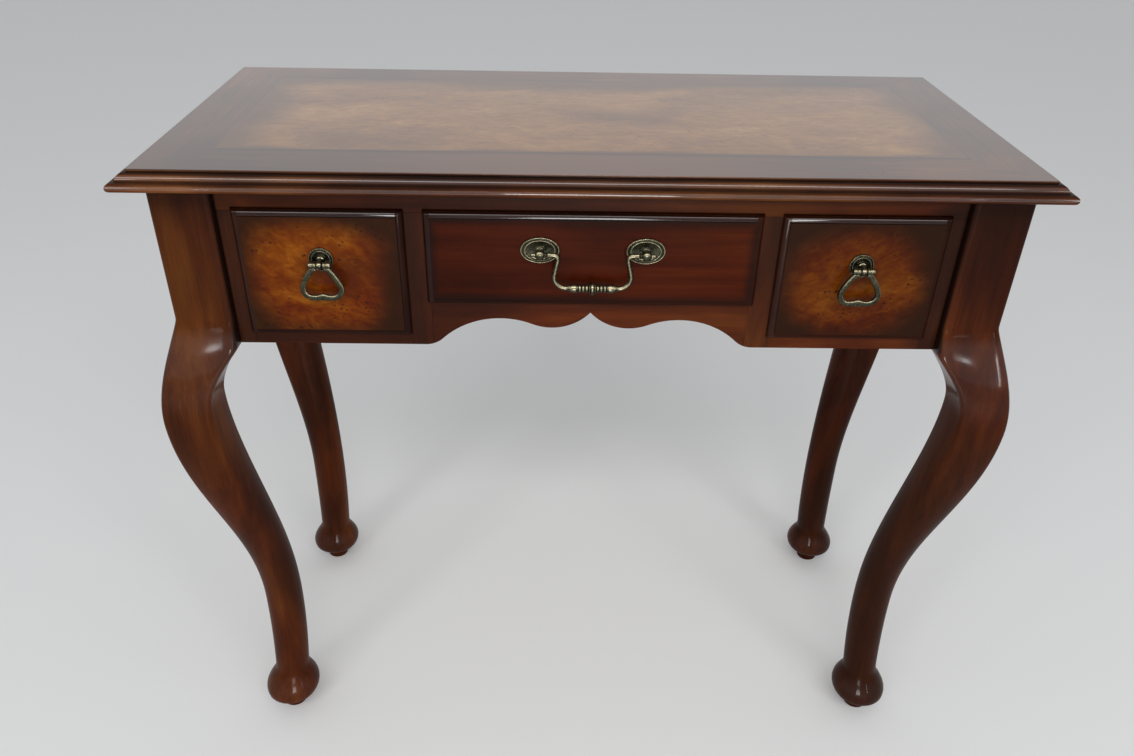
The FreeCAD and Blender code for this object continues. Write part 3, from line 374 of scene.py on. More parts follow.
CASE_BOTTOM = 0.5735
POST_TOP = 0.744
POST_WIDTH = 0.059
POST_X = 0.3855
POST_Y = -0.14575
POST_CORNER = 0.006
JOINT_X = POST_X - POST_WIDTH / 2
KNEE_START = CASE_BOTTOM + 0.0305
KNEE_FULL = CASE_BOTTOM - 0.0875
HOLLOW_FULL = CASE_BOTTOM - 0.0655
ANKLE = 0.195
ROUND_BELOW = 0.26
PAD_TOP = 0.070
PAD_WIDEST = 0.035
PAD_RADIUS = 0.0344
PAD_RIM = 0.0299
DISC_RADIUS = 0.0149
DISC_HEIGHT = 0.024
DISC_ARRIS = 0.0012
FLOOR_CURVE_END = 0.01
MOST_ROUND = 0.98


def leg_curve(z, start, full, projection, softness, fall, setback, foot_setback):
    """Distance of one face of the leg past the post's face at a height.

    It swells to its projection, swings back by the setback at the ankle and out again
    to the foot's setback.
    """
    if z >= start:
        return 0.0
    if z >= full:
        share = (start - z) / (start - full)
        share = (math.hypot(share, softness) - softness) / (math.hypot(1, softness) - softness)
        return projection * math.sin(math.pi / 2 * share)
    if z >= ANKLE:
        share = ((full - z) / (full - ANKLE)) ** fall
        return projection - (projection + setback) * (1 - math.cos(math.pi * share)) / 2
    swing = min((ANKLE - z) / (ANKLE - FLOOR_CURVE_END), 1.0) ** 1.9
    return -setback + (setback - foot_setback) * swing


def leg_faces(z):
    """How far the outer and the inner face of the leg stand out at a height."""
    outer = leg_curve(z, KNEE_START, KNEE_FULL, projection=0.02748, softness=0.04,
                      fall=1.0, setback=0.0172, foot_setback=0.0087)
    inner = leg_curve(z, CASE_BOTTOM, HOLLOW_FULL, projection=0.0313, softness=0.02,
                      fall=0.8, setback=0.0026, foot_setback=-0.010)
    return outer, inner


def softened(share):
    """A share from 0 to 1 that starts and ends gently."""
    share = min(max(share, 0.0), 1.0)
    return share * share * (3 - 2 * share)


def leg_shape(z):
    """Shift, half width and roundness of the leg at a height."""
    outer, inner = leg_faces(z)
    half = (POST_WIDTH + outer - inner) / 2
    if z < PAD_WIDEST:
        drop = (PAD_WIDEST - z) / (PAD_WIDEST - DISC_HEIGHT)
        half = PAD_RIM + (PAD_RADIUS - PAD_RIM) * math.sqrt(max(1 - drop * drop, 0.0))
    elif z < PAD_TOP:
        half += (PAD_RADIUS - half) * softened((PAD_TOP - z) / (PAD_TOP - PAD_WIDEST))
    roundness = softened((KNEE_START - z) / (KNEE_START - ROUND_BELOW)) * MOST_ROUND
    return (outer + inner) / 2, half, roundness


def size_ring(leg, centre, half):
    """Scale the selected ring of a leg to a half width, about its centre."""
    points = bmesh.from_edit_mesh(leg.data).verts
    widest = max(abs(point.co.x - centre[0]) for point in points if point.select)
    bpy.ops.transform.resize(value=(half / widest, half / widest, 1), center_override=centre)


def rings(start, end, count):
    """The heights of evenly spaced rings, down from a start that isn't one of them."""
    step = (start - end) / count
    return [start - step * (index + 1) for index in range(count)]


FACE_CUTS = 7
CORNER_STEPS = 8
UNDERSIDE_RINGS = 10


def carve_leg():
    """The front right leg, drawn down from its post ring by ring."""
    bpy.ops.object.select_all(action="DESELECT")
    bpy.ops.mesh.primitive_plane_add(size=POST_WIDTH, location=(POST_X, POST_Y, POST_TOP))
    leg = bpy.context.object
    settle(leg)
    bpy.ops.object.mode_set(mode="EDIT")
    bpy.ops.mesh.select_all(action="SELECT")
    bpy.ops.mesh.bevel(offset=POST_CORNER, segments=CORNER_STEPS, affect="VERTICES")
    bpy.ops.mesh.select_mode(type="EDGE")
    mesh = bmesh.from_edit_mesh(leg.data)
    for edge in mesh.edges:
        edge.select_set(edge.calc_length() > POST_CORNER)
    bmesh.update_edit_mesh(leg.data)
    bpy.ops.mesh.subdivide(number_cuts=FACE_CUTS)
    bpy.ops.mesh.select_mode(type="VERT")
    bpy.ops.mesh.select_all(action="SELECT")
    heights = [POST_TOP - 0.0005, KNEE_START]
    heights += rings(KNEE_START, KNEE_FULL, 40)
    heights += rings(KNEE_FULL, PAD_TOP, 50)
    heights += rings(PAD_TOP, PAD_WIDEST, 14)
    depth = PAD_WIDEST - DISC_HEIGHT
    for index in range(UNDERSIDE_RINGS):
        swing = math.pi / (2 * UNDERSIDE_RINGS) * (index + 1)
        heights.append(PAD_WIDEST - depth * math.sin(swing))
    last_z = POST_TOP
    last_shift = 0.0
    roundness = 0.0
    for z in heights:
        shift, half, wanted = leg_shape(z)
        step = shift - last_shift
        draw_out((step, -step, z - last_z))
        if wanted > roundness:
            bpy.ops.transform.tosphere(value=(wanted - roundness) / (1 - roundness))
            roundness = wanted
        centre = Vector((POST_X + shift, POST_Y - shift, z))
        size_ring(leg, centre, half)
        last_z = z
        last_shift = shift
    for radius, z in ((DISC_RADIUS + DISC_ARRIS, DISC_HEIGHT),
                      (DISC_RADIUS, DISC_HEIGHT - DISC_ARRIS),
                      (DISC_RADIUS, DISC_ARRIS), (DISC_RADIUS - DISC_ARRIS, 0.0)):
        draw_out((0, 0, z - last_z))
        size_ring(leg, (centre.x, centre.y, z), radius)
        last_z = z
    bpy.ops.object.mode_set(mode="OBJECT")
    tidy_skin(leg)
    smooth(leg, 40)
    return leg


def leg_glaze_and_shade(finish):
    """Glazing fills the joint beside the case; painted shade darkens the post towards the top,
    most under the top, and the front right leg's lower half.
    """
    x = finish.axis("X")
    z = finish.axis("Z")
    on_post = z.rise(CASE_BOTTOM, CASE_BOTTOM + 0.004)
    joint = (1 - abs(x).rise(JOINT_X + 0.0006, JOINT_X + 0.0034)) * on_post
    # painted shade: the post darker up towards the top, darkest right under the top
    post = z.rise(CASE_BOTTOM - 0.03, POST_TOP - 0.06) * 0.22
    shade_under_top = z.rise(POST_TOP - 0.06, POST_TOP - 0.004) * 0.45
    # painted shade on the lower half of the front right leg
    front_right = x.rise(0.2, 0.3) * (1 - finish.axis("Y").rise(-0.1, 0.1))
    low = front_right * (1 - z.rise(0.34, 0.52)) * 0.50
    return joint.most(post + shade_under_top).most(low).most(hollow_shade_and_dark_arrises(finish)).least(0.95)


def knee_gloss(finish):
    """The knees and the pads are rubbed to a shine."""
    z = finish.axis("Z")
    knee = z.rise(0.495, 0.550) * (1 - z.rise(0.582, 0.596))
    pad = near(z, PAD_WIDEST + 0.008, 0.02) * 0.5
    return 0.05 + 0.42 * knee.most(pad)


leg_finish = mahogany("legs_red_mahogany", "Z", RED_STOPS, leg_glaze_and_shade, knee_gloss)
pattern_leg = carve_leg()
for node, side_x, side_y in (("leg_front_right", 1, 1), ("leg_front_left", -1, 1),
                             ("leg_rear_right", 1, -1), ("leg_rear_left", -1, -1)):
    leg = bpy.data.objects.new("carved_" + node, pattern_leg.data.copy())
    scene.collection.objects.link(leg)
    leg.scale = (side_x, side_y, 1)
    settle(leg)
    tidy_skin(leg)
    fit(leg, node, leg_finish)
bpy.data.objects.remove(pattern_leg)


# ------------------------------------------------------------------ the case
# Rails, stiles and a sawn, scalloped apron make the face frame. They are mahogany with
# upright stiles and level rails, planed flush, their seams showing as fine lines. Plain
# panels close the ends and the back, let into the posts.

ARRIS = 0.00035


def eased_copy(node, name, arris=ARRIS, angle=35):
    """A copy of a sawn piece, its arrises eased. With an arris of 0 it stays sharp."""
    piece = bpy.data.objects.new(name, frame["nodes"][node].data.copy())
    scene.collection.objects.link(piece)
    only(piece)
    bpy.ops.mesh.customdata_custom_splitnormals_clear()
    bpy.ops.object.mode_set(mode="EDIT")
    bpy.ops.mesh.select_mode(type="VERT")
    bpy.ops.mesh.select_all(action="SELECT")
    bpy.ops.mesh.remove_doubles(threshold=0.00001)
    bpy.ops.mesh.dissolve_limited(angle_limit=math.radians(0.5))
    bpy.ops.object.mode_set(mode="OBJECT")
    if not arris:
        bpy.ops.object.shade_flat()
        return piece
    ease = piece.modifiers.new("eased", "BEVEL")
    ease.width = arris
    ease.segments = 2
    ease.limit_method = "ANGLE"
    ease.angle_limit = math.radians(angle)
    bpy.ops.object.modifier_apply(modifier="eased")
    smooth(piece, angle)
    level_faces = piece.modifiers.new("level_faces", "WEIGHTED_NORMAL")
    level_faces.keep_sharp = True
    bpy.ops.object.modifier_apply(modifier="level_faces")
    return piece


def case_glaze_and_shade(finish):
    """Painted shade under the top; darker on the end stiles, over the right half and most of all
    at the right end; glazing in the joint beside the posts.
    """
    x = finish.axis("X")
    z = finish.axis("Z")
    # painted shade under the top's overhang
    shade_under_top = z.rise(POST_TOP - 0.022, POST_TOP - 0.005) * 0.85
    # darker on the end stiles, over the right half and most of all at the right end
    stile = abs(x).rise(0.328, 0.340) * 0.45
    right_end = x.rise(0.30, 0.345) * 0.72
    right_half = x.rise(0.08, 0.20) * 0.18
    beside_post = abs(x).rise(0.3535, 0.3555)
    ends = stile.most(right_end).most(right_half)
    return shade_under_top.most(ends).most(beside_post).most(hollow_shade_and_dark_arrises(finish) * 0.8)


REDDER_STOPS = [(place, (red * 1.15, green, blue * 0.8))
                for place, (red, green, blue) in RED_STOPS]
upright = mahogany("stiles_red_mahogany", "Z", RED_STOPS, case_glaze_and_shade)
level = mahogany("rails_red_mahogany", "X", REDDER_STOPS, case_glaze_and_shade)
deep = mahogany("end_panels_red_mahogany", "Y", RED_STOPS)
for node in ("inner_stile_left", "inner_stile_right", "end_stile_left", "end_stile_right"):
    fit(eased_copy(node, "planed_" + node), node, upright)
for node in ("top_rail", "bottom_rail_left", "bottom_rail_right", "apron", "back_panel"):
    fit(eased_copy(node, "planed_" + node), node, level)
for node in ("end_panel_left", "end_panel_right"):
    fit(eased_copy(node, "planed_" + node), node, deep)


# ------------------------------------------------------------------ inside the case
# Partitions, runners, guides, kickers and cleats are bare planed wood, glued to the
# frame and the panels. They carry the drawers and the top.

PALE_WOOD = (0.46, 0.31, 0.165)
PALE_WOOD_DARK = (0.30, 0.185, 0.09)


def bare_wood(name, along):
    """Planed wood with no finish on it: soft streaks, fine pores, a dull surface."""
    finish = Finish(name, {"Specular IOR Level": 0.35})
    pulled = finish.stretched(grain_scale(along))
    years = finish.noise(pulled, 110, 3, 0.55, 1.2)
    fine = finish.noise(pulled, 900, 2, 0.6)
    clouds = finish.noise(finish.place, 9, 2)
    figure = years * 0.6 + fine * 0.25 + clouds * 0.15
    palest = tuple(part * 1.12 for part in PALE_WOOD)
    colour = finish.ramp(figure, [(0.30, PALE_WOOD_DARK), (0.52, PALE_WOOD), (0.72, palest)])
    height = fine * 0.6 + years * 0.4
    finish.to(Base_Color=colour, Roughness=0.62 + 0.12 * fine,
              Normal=finish.bump(height, 0.3, 0.0003))
    return finish


inside_long = bare_wood("inside_wood_front_to_back", "Y")
inside_wide = bare_wood("inside_wood_side_to_side", "X")
for node in ("partition_left", "partition_right", "drawer_runners", "drawer_guides",
             "kickers", "top_cleats"):
    fit(eased_copy(node, "planed_" + node), node, inside_long)


# ------------------------------------------------------------------ the top
# A core board lipped with solid wood, which is moulded to a fillet, an ovolo, a cove and
# a bullnose. Dark veneer mitred round a field of burl lies on it under a thick polish.

HARD_LACQUER = {"Coat Weight": 0.10, "Coat Roughness": 0.06, "Coat IOR": 1.6,
                "Specular IOR Level": 0.03}
LEDGE = 0.7594
COVE = 0.7530
UNDERSIDE = 0.744
NOSE_MIDDLE = 0.7482
OVOLO_MIDDLE = 0.7560


def moulding_glaze_and_shade(finish):
    """Black glazing with painted shade in the quirk under the fillet and in the cove, and painted
    shade underneath.
    """
    z = finish.axis("Z")
    along = finish.noise(finish.place, 24, 3, 0.6)
    quirk = near(z, LEDGE, 0.0020) * 0.9
    cove = near(z, COVE, 0.0022) * (0.35 + 0.8 * along)
    # painted shade on the underside
    under = 1 - z.rise(UNDERSIDE, UNDERSIDE + 0.0016)
    return quirk.most(cove).most(under).least(0.92)


def moulding_gloss(finish):
    """The polish shines on the upper half of the nose and of the ovolo."""
    z = finish.axis("Z")
    nose = near(z, NOSE_MIDDLE + 0.0006, 0.0022).rise(0, 0.6)
    ovolo = near(z, OVOLO_MIDDLE, 0.0026).rise(0, 0.6)
    return 0.03 + 0.95 * nose.most(ovolo * 0.8)


MOULDING_STOPS = [(0.36, (0.018, 0.0045, 0.0016)), (0.46, (0.056, 0.0140, 0.0040)),
                  (0.55, (0.110, 0.0310, 0.0080)), (0.66, (0.210, 0.0800, 0.0200))]
front_moulding = mahogany("front_moulding_mahogany", "X", MOULDING_STOPS, moulding_glaze_and_shade,
                          moulding_gloss, HARD_LACQUER)
side_moulding = mahogany("side_moulding_mahogany", "Y", MOULDING_STOPS, moulding_glaze_and_shade,
                         moulding_gloss, HARD_LACQUER)
for node, wood in (("top_edge_front", front_moulding), ("top_edge_left", side_moulding),
                   ("top_edge_right", side_moulding)):
    fit(eased_copy(node, "moulded_" + node, 0.00025, 30), node, wood)
fit(eased_copy("top_edge_back", "planed_top_edge_back"), "top_edge_back", level)

FIELD_X = 0.36165
FIELD_FRONT = -0.1234
FIELD_BACK = 0.13645
POLISH = {"Coat Weight": 0.56, "Coat Roughness": 0.09, "Coat IOR": 1.5,
          "Specular IOR Level": 0.3}


def past_field(finish):
    """How far a point lies past the burl field's ends, and past its front or back."""
    x = abs(finish.axis("X")) - FIELD_X
    y = finish.axis("Y")
    return x, (FIELD_FRONT - y).most(y - FIELD_BACK)


def polish_ripple(finish):
    """The slow unevenness of thick lacquer."""
    return finish.noise(finish.place, 14, 2, 0.4) + 0.12 * finish.noise(finish.place, 260, 2, 0.5)


REDDER_BORDER = (0.150, 0.064, 0.034)
SEAM_BLACK = (0.008, 0.0035, 0.0025)
BURL_SHADE = (0.085, 0.032, 0.0125)
FLECK_BROWN = (0.020, 0.007, 0.003)
WORN_PLACES = ((-0.399, -0.050), (-0.247, 0.172), (0.262, -0.168), (0.391, 0.050))


def worn_spots(finish):
    """Clusters of small dark dents, made with a nail to age the top."""
    x = finish.axis("X")
    y = finish.axis("Y")
    close = None
    for place_x, place_y in WORN_PLACES:
        cluster = near(x, place_x, 0.016) * near(y, place_y, 0.016)
        close = cluster if close is None else close.most(cluster)
    dents = 1 - finish.spots(finish.place, 125, "2D").rise(0.09, 0.17)
    return dents * close.rise(0.1, 0.3) * 0.9


def border_veneer():
    """Dark veneer that follows each side, mitred at the corners, redder in front."""
    finish = Finish("border_dark_veneer", POLISH)
    x, y = past_field(finish)
    side = (x - y).rise(-0.0002, 0.0002)
    level_grain = finish.noise(finish.stretched((0.06, 1, 1)), 130, 4, 0.6, 0.4)
    deep_grain = finish.noise(finish.stretched((1, 0.06, 1)), 130, 4, 0.6, 0.4)
    grain = level_grain * (1 - side) + deep_grain * side
    clouds = finish.noise(finish.place, 6, 3, 0.5)
    figure = grain * 0.45 + clouds * 0.55
    colour = finish.ramp(figure, [(0.38, (0.040, 0.016, 0.0080)),
                                  (0.50, (0.080, 0.029, 0.0115)),
                                  (0.62, (0.150, 0.055, 0.0190))])
    in_front = 1 - finish.axis("Y").rise(-0.14, -0.10)
    middle = (1 - abs(finish.axis("X")).rise(0.05, 0.30)) * in_front
    colour = finish.mix(middle * 0.7, colour, REDDER_BORDER)
    seam = near(x - y, 0, 0.00035) * 0.5
    before_field = FIELD_FRONT - finish.axis("Y")
    front_line = near(before_field, 0.0008, 0.0022) * 0.8
    front_band = near(before_field, 0.0, 0.012) * 0.5
    line = front_line.most(front_band) * (1 - x.rise(0, 0.002))
    colour = finish.mix(seam.most(line).most(worn_spots(finish)), colour, SEAM_BLACK)
    finish.to(Base_Color=colour, Roughness=0.34 + 0.08 * grain,
              Normal=finish.bump(polish_ripple(finish), 0.12, 0.001))
    return finish


def burl_field():
    """Burl: mottled orange brown, with dark flecks, clouded where the stain was shaded in."""
    finish = Finish("field_burl_veneer", POLISH)
    x, y = past_field(finish)
    inside = -1 * x.most(y)
    pulled = finish.stretched((0.50, 1, 1), (0.7, 0.2, 0))
    swirl = finish.noise(pulled, 17, 5, 0.62, 0.7)
    mottle = finish.noise(pulled, 130, 5, 0.66, 0.6)
    figure = swirl * 0.55 + mottle * 0.45
    colour = finish.ramp(figure, [(0.34, (0.155, 0.060, 0.0170)),
                                  (0.46, (0.240, 0.100, 0.0270)),
                                  (0.55, (0.310, 0.142, 0.0400)),
                                  (0.66, (0.400, 0.205, 0.0700))])
    cloud = finish.noise(finish.stretched((0.6, 1, 1), (3.1, 0.4, 0)), 9, 3, 0.5, 0.3)
    ends = (FIELD_X - abs(finish.axis("X")) + 0.10 * (cloud - 0.5)).rise(0.0, 0.055)
    back = (FIELD_BACK - finish.axis("Y") + 0.08 * (cloud - 0.5)).rise(0.0, 0.05)
    front = (inside + 0.03 * (cloud - 0.5)).rise(0.0, 0.012)
    shaded = 1 - ends * back * front
    patches = cloud.rise(0.48, 0.72) * 0.62
    colour = finish.mix(shaded.most(patches) * 0.90, colour, BURL_SHADE)
    flecks = 1 - finish.spots(finish.stretched((0.45, 1, 1)), 150, "2D").rise(0.06, 0.16)
    where = finish.noise(finish.place, 30, 2).rise(0.53, 0.62)
    flecks = (flecks * where * 0.7).most(worn_spots(finish))
    colour = finish.mix(flecks, colour, FLECK_BROWN)
    finish.to(Base_Color=colour, Roughness=0.34 + 0.08 * mottle,
              Normal=finish.bump(polish_ripple(finish), 0.12, 0.001))
    return finish


fit(eased_copy("top_border_veneer", "polished_border_veneer", 0), "top_border_veneer",
    border_veneer())
fit(eased_copy("top_burl_veneer", "polished_burl_field", 0), "top_burl_veneer", burl_field())
fit(eased_copy("top_core", "planed_top_core"), "top_core", inside_wide)

steel = Finish("screws_steel", {"Metallic": 1.0})
turned_marks = steel.noise(steel.place, 2200, 2)
steel_greys = [(0.3, (0.42, 0.42, 0.43)), (0.7, (0.62, 0.62, 0.61))]
steel.to(Base_Color=steel.ramp(turned_marks, steel_greys), Roughness=0.3 + 0.2 * turned_marks)
fit(eased_copy("top_screws", "top_screws_with_heads", 0.0003), "top_screws", steel)


# ------------------------------------------------------------------ the drawers
# Fronts are solid mahogany with a thumbnail-moulded lip all round. The side ones carry
# burl, burnt dark towards the lip. Pale sides are dovetailed in, over plywood bottoms.

LIP_WIDTH = 0.0065


class Front:
    """Where one drawer's front lies: its middle and its half sizes to the lip's edge."""

    def __init__(self, name):
        low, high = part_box("drawer_" + name + "_front")
        self.middle = (low + high) / 2
        self.half_width = (high.x - low.x) / 2
        self.half_height = (high.z - low.z) / 2

    def depth_in(self, finish):
        """How far in from the edge of the lip a point lies."""
        x = self.half_width - abs(finish.axis("X") - self.middle.x)
        z = self.half_height - abs(finish.axis("Z") - self.middle.z)
        return x, z


def lip_glaze_and_shade(front):
    """Black glazing with painted shade in the quirk, thinner on the lip and on the ground just
    inside it.
    """
    def glaze_and_shade(finish):
        x, z = front.depth_in(finish)
        depth = x.least(z)
        # glazing and painted shade in the quirk
        quirk = near(depth, LIP_WIDTH, 0.0016)
        rim = near(depth, 0.0014, 0.0008) * 0.8
        shade = 1 - depth.rise(0.006, 0.017)
        return quirk.most(rim).most(shade * 0.72)
    return glaze_and_shade


def lip_gloss(front):
    """The lip's upper run is polished, its left one a little; the lower one is dull."""
    def gloss(finish):
        x, z = front.depth_in(finish)
        lip = 1 - x.least(z).rise(LIP_WIDTH - 0.0005, LIP_WIDTH + 0.0005)
        upper = (finish.axis("Z") - front.middle.z).rise(0, 0.02)
        upright = 1 - x.rise(LIP_WIDTH, LIP_WIDTH + 0.001)
        left = (front.middle.x - finish.axis("X")).rise(0, 0.02) * 0.25 + 0.06
        polished = (upper * (1 - upright)).most(upright * left)
        return 0.04 + 0.74 * lip * polished
    return gloss


FRONT_STOPS = [(0.38, (0.018, 0.0026, 0.0005)), (0.47, (0.033, 0.0044, 0.0007)),
               (0.55, (0.050, 0.0068, 0.0010)), (0.64, (0.072, 0.0118, 0.0018))]
EYES = {"left": ((-0.277, 0.699), (-0.236, 0.686), (-0.296, 0.632), (-0.228, 0.627))}
AMBER_STOPS = [(0.34, (0.050, 0.0058, 0.0004)), (0.45, (0.094, 0.0145, 0.0005)),
               (0.55, (0.150, 0.0335, 0.0010)), (0.67, (0.235, 0.0740, 0.0040))]
BURNT = (0.016, 0.0048, 0.0010)
BURL_FLECK = (0.012, 0.004, 0.001)
CORNER_POWER = 2.7


def drawer_burl(name, front, lean, strength, tone):
    """Amber burl with a slanting flame, burnt to near black in the corners and at the lip."""
    finish = Finish("burl_" + name + "_front", LACQUER)
    slanted = finish.node("ShaderNodeMapping", {"vector_type": "TEXTURE"},
                          {"Vector": finish.place, "Rotation": (0, lean, 0), "Scale": (1.6, 1, 1)})
    swirl = finish.noise(slanted, 16, 4, 0.55, 0.9)
    mottle = finish.noise(slanted, 130, 4, 0.62, 0.8)
    figure = swirl * 0.66 + mottle * 0.34
    colour = finish.ramp(figure, [(place, tuple(tone * part for part in shade))
                                  for place, shade in AMBER_STOPS])
    cloud = finish.noise(finish.stretched((1, 1, 1), (1.7 + lean, 0, 0.6)), 13, 2, 0.5, 0.4)
    x = abs(finish.axis("X") - front.middle.x + 0.004) * (1 / front.half_width)
    z = abs(finish.axis("Z") - front.middle.z + 0.003) * (1 / front.half_height)
    rounded_off = (x ** CORNER_POWER + z ** CORNER_POWER) ** (1 / CORNER_POWER)
    burnt = (rounded_off + 0.45 * (cloud - 0.5)).rise(0.55, 1.01)
    patches = cloud.rise(0.52, 0.72) * 0.4
    colour = finish.mix(burnt.most(patches) * strength, colour, BURNT)
    flecks = 1 - finish.spots(slanted, 230).rise(0.12, 0.30)
    where = finish.noise(finish.place, 46, 2).rise(0.52, 0.60)
    for place_x, place_z in EYES.get(name, ()):
        eye = near(finish.axis("X"), place_x, 0.011) * near(finish.axis("Z"), place_z, 0.008)
        where = where.most(eye.rise(0.1, 0.4))
    colour = finish.mix(flecks * where * 0.9, colour, BURL_FLECK)
    ripple = finish.noise(finish.place, 30, 2, 0.4)
    finish.to(Base_Color=colour, Roughness=0.36 + 0.08 * mottle,
              Normal=finish.bump(ripple, 0.15, 0.0008))
    return finish


side_wood = bare_wood("drawer_sides_wood", "Y")
back_wood = bare_wood("drawer_backs_wood", "X")


def plywood():
    """Plywood with a pale, coarsely figured face ply."""
    finish = Finish("drawer_bottoms_plywood", {"Specular IOR Level": 0.3})
    pulled = finish.stretched(grain_scale("X"))
    figure = finish.noise(pulled, 60, 4, 0.6, 1.5)
    colour = finish.ramp(figure, [(0.32, (0.34, 0.23, 0.125)), (0.55, (0.50, 0.36, 0.21)),
                                  (0.75, (0.58, 0.44, 0.27))])
    finish.to(Base_Color=colour, Roughness=0.68 + 0.1 * figure,
              Normal=finish.bump(figure, 0.2, 0.0003))
    return finish


plywood_finish = plywood()
for name, lean, strength, tone in (("left", 0.4, 0.95, 1.0), ("right", -0.35, 0.98, 0.68),
                                   ("centre", 0, 0, 1)):
    front = Front(name)
    node = "drawer_" + name + "_front"
    wood = mahogany("front_wood_" + name, "X", FRONT_STOPS, lip_glaze_and_shade(front), lip_gloss(front))
    fit(eased_copy(node, "moulded_" + name + "_front", 0.0003, 30), node, wood)
    if name != "centre":
        burl = drawer_burl(name, front, lean, strength, tone)
        part = node + "_veneer"
        fit(eased_copy(part, "burl_on_" + name + "_front", 0), part, burl)
    for side in ("left", "right"):
        part = "drawer_" + name + "_side_" + side
        fit(eased_copy(part, "dovetailed_" + name + "_side_" + side, 0), part, side_wood)
    part = "drawer_" + name + "_back"
    fit(eased_copy(part, "planed_" + name + "_back"), part, back_wood)
    part = "drawer_" + name + "_bottom"
    fit(eased_copy(part, "sawn_" + name + "_bottom", 0), part, plywood_finish)


# ------------------------------------------------------------------ the pulls
# Cast and turned brass with a dark olive patina, polished pale by hands on the high spots, with
# painted highlights where it faces up, to the front or to the right. Each is held by studs through
# the front, with nuts inside.

MM = 0.001
HIGHLIGHT_WAY = Vector((0, -0.6, 0.8))
SIDE_HIGHLIGHT_WAY = Vector((0.8, -0.5, 0.33))
CREST = 1.6 * MM
CREST_FADE = 0.30 * MM


def mark_wear_and_highlights(piece, crest=None, face=0.0, brightest=0.84, front_highlight=0.0, side_highlight=0.0):
    """Mark where a piece shows bright: painted highlights where it faces up, to the front or to
    the right, and real rubbing past a crest on its face.
    """
    marks = piece.data.attributes.new("worn", "FLOAT", "POINT").data
    for point, mark in zip(piece.data.vertices, marks):
        # painted highlight where the surface faces up and to the front
        worn = [0.0, point.normal.dot(HIGHLIGHT_WAY)]
        if crest:
            past_crest = softened((face - point.co.y - crest) / CREST_FADE) * brightest
            worn = [0.0, worn[1] * 0.8, past_crest]
        # painted highlights on faces turned to the front and to the right
        worn.append(front_highlight * max(-point.normal.y, 0.0) ** 5)
        worn.append(side_highlight * point.normal.dot(SIDE_HIGHLIGHT_WAY))
        mark.value = max(worn)


DIMPLE_RADIUS = 1.3 * MM


def antique_brass(name, dimple_shade=None):
    """Brass gone dark in the hollows, bright where hands rubbing it have polished it and where the
    marked highlights are painted.
    """
    finish = Finish(name, {"IOR": 1.5})
    sharpness = finish.node("ShaderNodeNewGeometry", {}, {}, "Pointiness")
    worn = finish.node("ShaderNodeAttribute", {"attribute_name": "worn"}, {}, "Fac")
    mottle = finish.noise(finish.place, 420, 4, 0.65, 0.4)
    blotch = finish.noise(finish.place, 120, 3, 0.5)
    # pale brass where rubbing or a painted highlight lies
    rubbed_or_highlit = (worn + 0.06 * (mottle - 0.5)).rise(0.5, 1.0) ** 1.7
    rubbed_or_highlit = rubbed_or_highlit.most(sharpness.rise(0.56, 0.72) * 0.8)
    patina = finish.ramp(mottle * 0.6 + blotch * 0.4,
                         [(0.38, (0.014, 0.014, 0.008)), (0.50, (0.030, 0.030, 0.017)),
                          (0.62, (0.056, 0.054, 0.030))])
    bright = finish.ramp(mottle, [(0.38, (0.22, 0.195, 0.120)), (0.62, (0.40, 0.350, 0.225))])
    colour = finish.mix(rubbed_or_highlit, patina, bright)
    # painted shade: a near-black dot in place of the shade inside a dimple, which is not modelled
    if dimple_shade:
        place_x, place_z = dimple_shade
        beside = near(abs(finish.axis("X")), place_x, DIMPLE_RADIUS)
        painted_dimple_shade = beside * near(finish.axis("Z"), place_z, DIMPLE_RADIUS)
        colour = finish.mix(painted_dimple_shade, colour, (0.004, 0.004, 0.003))
    rough = 0.27 - 0.05 * rubbed_or_highlit + 0.12 * (mottle - 0.5)
    finish.to(Base_Color=colour, Metallic=0.85 + 0.13 * rubbed_or_highlit, Roughness=rough,
              Normal=finish.bump(mottle, 0.15, 0.0002))
    return finish


TOWARDS_FRONT = (math.pi / 2, 0, 0)
TOWARDS_RIGHT = (0, math.pi / 2, 0)


def turned(name, place, facing, profile, sides=48):
    """A piece off the lathe: a disc drawn out ring by ring. The profile is radius, depth."""
    bpy.ops.object.select_all(action="DESELECT")
    last_radius, last_depth = profile[0]
    bpy.ops.mesh.primitive_circle_add(vertices=sides, radius=last_radius * MM, fill_type="NGON",
                                      location=(0, 0, last_depth * MM))
    piece = bpy.context.object
    piece.name = name
    settle(piece)
    bpy.ops.object.mode_set(mode="EDIT")
    bpy.ops.mesh.select_all(action="SELECT")
    for radius, depth in profile[1:]:
        draw_out((0, 0, (depth - last_depth) * MM))
        share = radius / last_radius
        bpy.ops.transform.resize(value=(share, share, 1), center_override=(0, 0, depth * MM))
        last_radius = radius
        last_depth = depth
    bpy.ops.object.mode_set(mode="OBJECT")
    piece.rotation_euler = facing
    piece.location = place
    settle(piece)
    tidy_skin(piece)
    return piece


def rounded(first, last, bulge, steps=6):
    """Points of a profile on a half round from one point to another, after the first."""
    (r0, d0), (r1, d1) = first, last
    points = []
    for step in range(1, steps + 1):
        angle = math.pi * step / steps
        share = (1 - math.cos(angle)) / 2
        lift = bulge * math.sin(angle)
        points.append((r0 + (r1 - r0) * share, d0 + (d1 - d0) * share + lift))
    return points


RIM_WIDTH = 1.4
CHANNEL_WIDTH = 1.0
RING_WIDTH = 1.5
HUB_FOOT = 4.6


